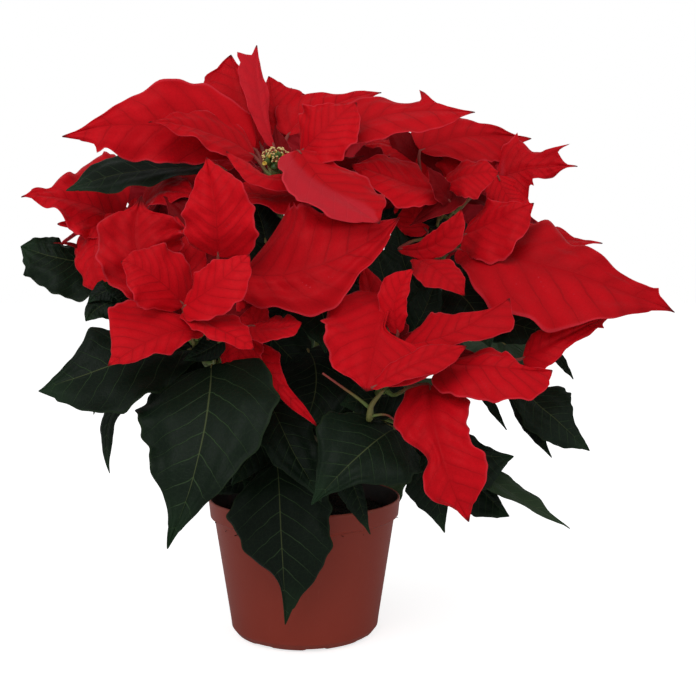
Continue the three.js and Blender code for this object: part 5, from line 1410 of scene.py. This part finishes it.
def makeFlowers(name):
    look = flowerLook
    rng = np.random.default_rng(seeds["flowers"] + ord(name))
    centre, looks = flowerPlaces[name]
    turnIn = turnTo(looks)
    rise = turnIn[:, 2]
    shape = Shape()
    foot = [(r * look["footRadius"] / look["footWidest"], z) for r, z in look["foot"]]
    points, faces = turned(foot, look["footSides"], centre, turnIn)
    shape.add(points, faces, 0, along=look["footTone"], node=0.0)
    count = look["cups"][name]
    outer = count - look["innerCups"]
    spots, aims = [], []
    for k in range(count):
        inner = k >= outer
        angle = look["innerTurn"] * (k - count) + look["innerStart"] if inner else fullTurn * k / outer
        away, lean, up = look["innerRing"] if inner else look["outerRing"]
        reach = look["ring"] * away * rng.uniform(*look["unevenRing"])
        out = turnIn @ np.array([math.cos(angle), math.sin(angle), 0.0])
        aim = unit(rise + out * lean + look["unevenAim"] * rng.normal(size=3))
        place = np.array(centre) + out * reach + rise * up
        mouth = addCup(shape, place, aim, out + look["unevenDish"] * rng.normal(size=3), rng)
        for _ in range(look["stamens"]):
            way = unit(aim + look["stamenSpread"] * rng.normal(size=3))
            spots.append(mouth + (way - aim * (way @ aim)) * look["stamenRing"])
            aims.append(way)
    piece = shape.build("flower_cups_" + name, [cupWax, nectarLip])
    carrier = addObject("stamen_points", bpy.data.meshes.new("stamen_points"))
    carrier.data.from_pydata((np.array(spots) * mm).tolist(), [], [])
    attribute = carrier.data.attributes.new("aim", "FLOAT_VECTOR", "POINT")
    attribute.data.foreach_set("vector", np.array(aims, dtype=np.float32).ravel())
    long = stamenSizes["Length"] * mm
    tuft = bakeNodes(carrier, stamenTree, "stamens_" + name, Length=long, Seed=ord(name))
    for each in (piece, tuft):
        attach(each, "root")
        if name in ("a", "b"):
            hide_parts("flowers_" + name)


flowerFinish = {
    "broad": 0.5, "blend": (0.35, 0.95), "fine": 0.3, "smoother": 0.06, "rougher": 0.12,
    "specular": 0.4, "mottle": (420.0, 2600.0), "bump": (0.3, 0.0002),
}


def makeFlowerMaterial(name, low, high, roughness, source="along"):
    f = {**flowerFinish, "roughness": roughness}
    material, tree, shader = newMaterial(name, roughness, f["specular"])
    mottle = mottleOf(tree, f)
    patches = times(tree, minus(tree, mottle["Broad"], 0.5), f["broad"])
    place = plus(tree, attributeValue(tree, source), patches)
    colour = mixColour(tree, rampTo(tree, place, *f["blend"]), low, high)
    colour = tinted(tree, colour, mottle["Fine"], f["fine"], low)
    finishShader(tree, shader, colour, mottle["Fine"], f["bump"], fineRoughness(tree, mottle, f))
    return material


cupWax = makeFlowerMaterial("cupWax", (0.055, 0.12, 0.025), (0.12, 0.2, 0.045), 0.42)
nectarLip = makeFlowerMaterial("nectarLip", (0.62, 0.42, 0.05), (0.8, 0.62, 0.14), 0.32)
stamenSilk = makeFlowerMaterial("stamenSilk", (0.5, 0.03, 0.03), (0.85, 0.72, 0.3), 0.5, "tip")
stamenTree = makeStamenTree(stamenSilk)
for name in flowerPlaces:
    makeFlowers(name)
print("flowers ready")


# pot: turned body with a rolled rim band, notched foot and six drain holes
potShape = {
    "rimRadius": 65.0, "height": 94.0, "wall": 1.6, "bandHeight": 13.0, "rimStep": 2.5,
    "baseRadius": 50.7, "baseHeight": 11.0, "footRadius": 42.0, "footHeight": 3.0, "floor": 2.4,
    "holes": 6, "holeRadius": 4.5, "holeRing": 27.0, "notches": 8, "notchWidth": 13.0, "notchHeight": 2.6,
    "padRadius": 15.0, "segments": 192, "softness": 0.45, "edgeAngle": 34, "rimRows": 5, "notchStart": 0.25,
    "notchBlend": 0.8, "footBand": 6.5, "leastReach": 30, "footRing": 5, "holeSides": 32,
    # slow waviness of the wall: size, waves round it and start
    "waver": (0.22, 2, 0.7), "ripple": (0.08, 5, 2), "waverSpan": (20, 90),
}


def softened(profile, softness, steps=4):
    # rounds each corner of a profile with a short curve
    points = [np.array(p, float) for p in profile]
    out = [points[0]]
    for before, here, after in zip(points, points[1:], points[2:]):
        reach = min(softness, 0.45 * np.linalg.norm(here - before), 0.45 * np.linalg.norm(after - here))
        start, end = here + reach * unit(before - here), here + reach * unit(after - here)
        for w in np.linspace(0, 1, steps):
            out.append((1 - w) ** 2 * start + 2 * w * (1 - w) * here + w ** 2 * end)
    return out + [points[-1]]


def potProfile(p):
    # from the middle of the underside out, up the outer wall, over the rim and down inside
    shoulder, top = p["height"] - p["bandHeight"], p["height"]
    body, rimHighlight, base, foot = p["rimRadius"] - p["rimStep"], p["rimRadius"], p["baseRadius"], p["footRadius"]
    inner, pad, lift, ring = rimHighlight - p["wall"], p["padRadius"], p["footHeight"], p["footRing"]
    floorTop = lift + p["floor"]
    return softened([
        (0, 0), (pad, 0), (pad + 1, lift), (foot - ring - 1, lift), (foot - ring, 0), (foot, 0),
        (foot + 5, 2), (base - 0.6, 6), (base, p["baseHeight"]), (body - 1.4, shoulder - 1),
        (body - 0.2, shoulder),
        (body + 1.4, shoulder + 0.8), (rimHighlight, top - 1), (rimHighlight - 0.5, top), (inner + 0.3, top),
        (inner, top - 0.6), (body - p["wall"], shoulder + 0.5), (base - p["wall"], p["baseHeight"] + 0.5),
        (foot + 3, floorTop + 1), (foot - 3, floorTop), (0, floorTop),
    ], p["softness"])


def makePot():
    p = potShape
    floorTop = p["footHeight"] + p["floor"]
    profile = potProfile(p)
    points, faces = turned(profile, p["segments"])
    # the inside begins a few rows past the rim's highest one
    rimRow = int(np.argmax([z for _, z in profile[1:-1]])) + p["rimRows"]
    inside = np.append(np.repeat(np.arange(len(profile) - 2) > rimRow, p["segments"]), [False, True])
    reach, turn = np.hypot(points[:, 0], points[:, 1]), np.arctan2(points[:, 1], points[:, 0])
    # between the short pads the foot is lifted
    pitch = fullTurn / p["notches"]
    away = np.abs((turn / pitch - p["notchStart"] + 0.5) % 1 - 0.5) * pitch * p["footRadius"]
    padEnd, blend = p["notchWidth"] / 2, p["notchBlend"]
    lifted = p["notchHeight"] * (1 - smoothStep(away, padEnd - blend, padEnd + blend))
    foot = (reach > p["footRadius"] - p["footBand"]) & (reach < p["baseRadius"] + 1)
    foot = foot & (points[:, 2] < floorTop - 1)
    points[foot, 2] = np.maximum(points[foot, 2], lifted[foot])
    # a thin moulded wall is never perfectly round
    waver, ripple = [size * np.sin(count * turn + start) for size, count, start in (p["waver"], p["ripple"])]
    waver = waver * smoothStep(points[:, 2], *p["waverSpan"]) + ripple
    points[:, :2] *= (1 + waver / np.maximum(reach, p["leastReach"]))[:, None]
    shape = Shape()
    shape.add(points, faces, 0, along=points[:, 2] / p["height"], node=inside.astype(float))
    body = shape.build("nursery_pot", [potPlastic])
    cutter = Shape()
    hole = [(0, -1), (p["holeRadius"], -1), (p["holeRadius"], floorTop + 2), (0, floorTop + 2)]
    for k in range(p["holes"]):
        angle = fullTurn * (k + 0.5) / p["holes"]
        centre = (p["holeRing"] * math.cos(angle), p["holeRing"] * math.sin(angle), 0)
        cutter.add(*turned(hole, p["holeSides"], centre))
    drill = cutter.build("drill", [potPlastic])
    modifier = body.modifiers.new("holes", "BOOLEAN")
    modifier.operation, modifier.solver, modifier.object = "DIFFERENCE", "EXACT", drill
    mesh = meshOf(body)
    body.modifiers.clear()
    body.data = mesh
    bpy.data.objects.remove(drill)
    mesh.set_sharp_from_angle(angle=math.radians(p["edgeAngle"]))
    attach(body, "root")
    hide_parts("pot")


# colours, then shares and spans: the rim and the foot are rubbed lighter, scuffs and dried splashes of soil;
# the inside wall is painted almost black in patches, as painted shade
potFinish = {
    "deep": (0.245, 0.03, 0.0165), "bright": (0.31, 0.041, 0.023), "worn": (0.38, 0.1, 0.07),
    "dust": (0.1, 0.062, 0.042), "insideShade": (0.01, 0.0075, 0.006), "roughness": 0.42, "specular": 0.25,
    "rimSpan": (0.975, 0.995), "footSpan": (0.1, 0.0), "patches": (90, 4), "rubbed": (0.35, 0.65, 0.25, 0.9),
    "wornShare": 0.5, "scuffScale": 520, "scuffLength": 0.07, "scuffSpan": (0.66, 0.78), "scuffShare": 0.12,
    "splash": (0.35, 0.95, 0.15, 0.5), "insideShadeSpan": (0.3, 0.6, 0.88, 0.98), "bump": (0.25, 0.00018),
    "smoother": 0.04, "rougher": 0.08, "dustDull": 0.4, "mottle": (14.0, 1700.0),
}


def makePotMaterial():
    f = potFinish
    material, tree, shader = newMaterial("potPlastic", f["roughness"], f["specular"])
    mottle = mottleOf(tree, f)
    where = objectPlace(tree)
    along, inside = attributeValue(tree, "along"), attributeValue(tree, "node")
    colour = mixColour(tree, mottle["Broad"], f["deep"], f["bright"])
    edge = mathNode(tree, "MAXIMUM", rampTo(tree, along, *f["rimSpan"]), rampTo(tree, along, *f["footSpan"]))
    patchy = noiseValue(tree, where, *f["patches"])
    rubbed = times(tree, edge, rampTo(tree, patchy, *f["rubbed"]))
    colour = tinted(tree, colour, rubbed, f["wornShare"], f["worn"])
    scratches = noiseValue(tree, stretchedPlace(tree, where, f["scuffLength"]), f["scuffScale"], 3)
    scuffs = rampTo(tree, scratches, *f["scuffSpan"])
    colour = tinted(tree, colour, scuffs, f["scuffShare"], f["worn"])
    splash = times(tree, mottle["Specks"], rampTo(tree, along, *f["splash"]))
    colour = mixColour(tree, splash, colour, f["dust"])
    # painted shade: the inside wall is darkened almost to black in patches
    colour = tinted(tree, colour, inside, rampTo(tree, patchy, *f["insideShadeSpan"]), f["insideShade"])
    height = plus(tree, times(tree, mottle["Fine"], 0.5), mottle["Specks"])
    height = minus(tree, height, times(tree, scuffs, 0.5))
    rough = plus(tree, fineRoughness(tree, mottle, f), times(tree, splash, f["dustDull"]))
    finishShader(tree, shader, colour, height, f["bump"], rough)
    return material


potPlastic = makePotMaterial()
makePot()
print("pot ready")


# soil: an uneven mound of peat with crumbs and fibres strewn on it
soilShape = {
    "top": 83.0, "mound": 2.0, "wallGap": 0.9, "rings": 30, "segments": 120, "roughness": 1.1,
    "crumbs": 2600, "crumbSize": 1.5, "fibres": 320, "fibreLength": 11.0, "fibreRadius": 0.22,
    "sownRadius": 58.0, "overFloor": 0.3, "footInset": 4, "levels": (14, 46, 70), "wallTop": 77,
    "edgeLevel": 78, "topFrom": 78.5, "edgeInset": 0.4, "edgeDrop": 3.5, "edgeBand": 7, "slower": 0.35,
    # what is strewn: seed, smallest and largest size, and tilt
    "crumbKind": (11, (0.25, 0.2, 0.2), (1.0, 0.75, 0.6), 1.2),
    "clodKind": (17, (0.9, 0.6, 0.5), (1.9, 1.3, 1.0), 0.6),
    "fibreKind": (23, (0.5, 0.4, 0.5), (1.6, 1.2, 1.6), 0.22),
    # crossing waves of the surface: how fast each runs along X and Y, and where it starts
    "waves": ((0.31, 0.12, 0.4), (-0.17, 0.29, 1.9), (0.52, -0.41, 0.9), (0.11, 0.63, 2.7),
              (-0.83, 0.36, 4.1), (0.9, 0.95, 1.2)),
}


def soilHeight(x, y):
    # every other wave points down, and the quicker ones are lower
    return sum(math.copysign(1, k % 2 - 0.5) * np.sin(a * x + b * y + c) / (1 + soilShape["slower"] * k)
               for k, (a, b, c) in enumerate(soilShape["waves"]))


def makeSoil():
    s, p = soilShape, potShape
    shoulder = p["height"] - p["bandHeight"]
    slope = (p["rimRadius"] - p["rimStep"] - p["baseRadius"]) / (shoulder - p["baseHeight"])

    def wallAt(z):
        return p["baseRadius"] + slope * (z - p["baseHeight"]) - p["wall"] - s["wallGap"]

    def topAt(r):
        drop = s["edgeDrop"] * smoothStep(r, edge - s["edgeBand"], edge)
        return s["top"] + s["mound"] * (1 - r / edge) - drop

    bottom = p["footHeight"] + p["floor"] + s["overFloor"]
    edge, summit = wallAt(s["edgeLevel"]), s["top"] + s["mound"]
    crown = [(r, topAt(r)) for r in np.linspace(edge - s["edgeInset"], 0, s["rings"])[:-1]]
    side = [(wallAt(z), z) for z in s["levels"]]
    profile = [(0, bottom), (p["footRadius"] - s["footInset"], bottom), (p["footRadius"] + 1.5, bottom + 2),
               *side, (edge, s["wallTop"]), *crown, (0, summit)]
    points, faces = turned(profile, s["segments"])
    r = np.hypot(points[:, 0], points[:, 1])
    top = (points[:, 2] > s["topFrom"]).astype(float)
    points[:, 2] += top * s["roughness"] * 0.5 * soilHeight(points[:, 0], points[:, 1]) * smoothStep(r, -1, 3)
    shape = Shape()
    shape.add(points, faces, 0, along=0.0, node=top)
    body = shape.build("peat", [peat])
    sown = addObject("sown", body.data.copy())
    crumbs = bakeNodes(sown, crumbTree, "peat_crumbs", Crumbs=s["crumbs"], Fibres=s["fibres"],
                       Crumb_Size=s["crumbSize"] * mm, Fibre_Length=s["fibreLength"] * mm)
    for piece in (body, crumbs):
        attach(piece, "root")
        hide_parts("potting_soil")


def makeCrumbTree(finish):
    # strews lumps and thin fibres over the faces whose "node" value is 1
    s = soilShape
    sockets = (("Crumbs", "Int", s["crumbs"]), ("Fibres", "Int", s["fibres"]),
               ("Crumb Size", "Float", s["crumbSize"] * mm), ("Fibre Length", "Float", s["fibreLength"] * mm))
    tree, into = newGeometryTree("peatCrumbs", "Surface", sockets)
    topOnly = namedValue(tree, "node", "FLOAT")
    join = tree.nodes.new("GeometryNodeJoinGeometry")

    def strewn(lump, count, seed, low, high, tilt):
        # the next two numbers after the seed are for the spin and the size
        area = mathNode(tree, "DIVIDE", count, math.pi * (s["sownRadius"] * mm) ** 2)
        points = placeNode(tree, "GeometryNodeDistributePointsOnFaces", Mesh=into["Surface"],
                           Selection=topOnly, Density=area, Seed=seed)
        spin = randomValue(tree, "FLOAT_VECTOR", seed + 1, (-tilt, -tilt, 0), (tilt, tilt, fullTurn))
        size = randomValue(tree, "FLOAT_VECTOR", seed + 2, low, high)
        put = placeNode(tree, "GeometryNodeInstanceOnPoints", Points=points.outputs["Points"],
                        Instance=lump, Rotation=spin, Scale=size)
        real = placeNode(tree, "GeometryNodeRealizeInstances", Geometry=put.outputs[0])
        tree.links.new(real.outputs[0], join.inputs[0])

    lump = placeNode(tree, "GeometryNodeMeshIcoSphere", Radius=into["Crumb Size"], Subdivisions=1)
    fibre = placeNode(tree, "GeometryNodeMeshCylinder", Vertices=4, Radius=s["fibreRadius"] * mm,
                      Depth=into["Fibre Length"])
    lying = placeNode(tree, "GeometryNodeTransform", Geometry=fibre.outputs["Mesh"],
                      Rotation=(math.pi / 2, 0, 0))
    strewn(lump.outputs["Mesh"], into["Crumbs"], *s["crumbKind"])
    strewn(lump.outputs["Mesh"], into["Fibres"], *s["clodKind"])
    strewn(lying.outputs[0], into["Fibres"], *s["fibreKind"])
    return finishTree(tree, join.outputs[0], finish)


peatFinish = {
    "deep": (0.0055, 0.004, 0.0032), "bright": (0.024, 0.016, 0.01), "fibre": (0.075, 0.048, 0.028),
    "coarse": (160, 5, 0.65), "fine": (1400, 3), "lumps": (0.35, 0.7), "fibres": (0.6, 0.75),
    "fibreShare": 0.6, "fineDepth": 0.5, "bump": (0.8, 0.0012), "roughness": (0.3, 0.7, 0.8, 1.0),
    "dull": 0.95, "specular": 0.2,
}


def makePeatMaterial():
    f = peatFinish
    material, tree, shader = newMaterial("peat", f["dull"], f["specular"])
    where = objectPlace(tree)
    coarse, fine = noiseValue(tree, where, *f["coarse"]), noiseValue(tree, where, *f["fine"])
    colour = mixColour(tree, rampTo(tree, coarse, *f["lumps"]), f["deep"], f["bright"])
    colour = tinted(tree, colour, rampTo(tree, fine, *f["fibres"]), f["fibreShare"], f["fibre"])
    height = plus(tree, coarse, times(tree, fine, f["fineDepth"]))
    finishShader(tree, shader, colour, height, f["bump"], rampTo(tree, coarse, *f["roughness"]))
    return material


peat = makePeatMaterial()
crumbTree = makeCrumbTree(peat)
makeSoil()
print("soil ready")


# floor, backdrop, light and camera
studio = {
    "floorHalf": 6.0, "floorColour": (0.8, 0.8, 0.8), "floorGrain": (0.76, 0.76, 0.77), "grainShare": 0.03,
    "floorGlow": (0.74, 0.74, 0.74), "floorRough": 0.95, "grain": (60, 3), "world": 0.42,
    "keyPower": 17.0, "keySize": 1.5, "keyPlace": (-0.55, -1.35, 1.45),
    "fillPower": 4.0, "fillSize": 1.6, "fillPlace": (1.3, -1.0, 0.8), "lightTarget": (0, 0, 0.2),
}
frontCamera = {"place": (0.0297, -0.75, 0.253), "pitch": 4.43, "lens": 57.46, "sensor": 36.0}


def cameraRay(tree):
    return tree.nodes.new("ShaderNodeLightPath").outputs["Is Camera Ray"]


def makeFloor():
    # a matt white sheet; the camera sees it brightened so that only the soft shadow stays
    half = studio["floorHalf"]
    mesh = bpy.data.meshes.new("studio_floor")
    corners = [(-half, -half, 0), (half, -half, 0), (half, half, 0), (-half, half, 0)]
    mesh.from_pydata(corners, [], [(0, 1, 2, 3)])
    floor = addObject("studio_floor", mesh)
    material, tree, shader = newMaterial("paperFloor", studio["floorRough"], 0.0)
    grain = noiseValue(tree, objectPlace(tree), *studio["grain"])
    colour = tinted(tree, studio["floorColour"], grain, studio["grainShare"], studio["floorGrain"])
    tree.links.new(colour, shader.inputs["Base Color"])
    glow = mixColour(tree, cameraRay(tree), (0, 0, 0), studio["floorGlow"])
    tree.links.new(glow, shader.inputs["Emission Color"])
    shader.inputs["Emission Strength"].default_value = 1.0
    mesh.materials.append(material)


def makeWorld():
    world = bpy.data.worlds.new("studio_world")
    world.use_nodes = True
    tree = world.node_tree
    ambient, seen = tree.nodes["Background"], tree.nodes.new("ShaderNodeBackground")
    for node, strength in ((ambient, studio["world"]), (seen, 1.0)):
        node.inputs["Color"].default_value = (1, 1, 1, 1)
        node.inputs["Strength"].default_value = strength
    mix = tree.nodes.new("ShaderNodeMixShader")
    for socket, source in zip(mix.inputs, (cameraRay(tree), ambient.outputs[0], seen.outputs[0])):
        tree.links.new(source, socket)
    tree.links.new(mix.outputs[0], tree.nodes["World Output"].inputs["Surface"])
    bpy.context.scene.world = world


def addLight(name, place, power, size):
    data = bpy.data.lights.new(name, "AREA")
    data.energy = power
    data.size = size
    lamp = addObject(name, data)
    lamp.location = place
    away = np.array(place) - np.array(studio["lightTarget"])
    lamp.rotation_euler = Vector(away).to_track_quat("Z", "Y").to_euler()


def addCamera():
    data = bpy.data.cameras.new("frontCamera")
    data.lens = frontCamera["lens"]
    data.sensor_width = frontCamera["sensor"]
    camera = addObject("frontCamera", data)
    camera.location = frontCamera["place"]
    camera.rotation_euler = (math.radians(90 - frontCamera["pitch"]), 0, 0)
    bpy.context.scene.camera = camera


makeFloor()
makeWorld()
addLight("keyLight", studio["keyPlace"], studio["keyPower"], studio["keySize"])
addLight("fillLight", studio["fillPlace"], studio["fillPower"], studio["fillSize"])
addCamera()
bpy.context.scene.view_settings.view_transform = "Standard"
print("stage ready")
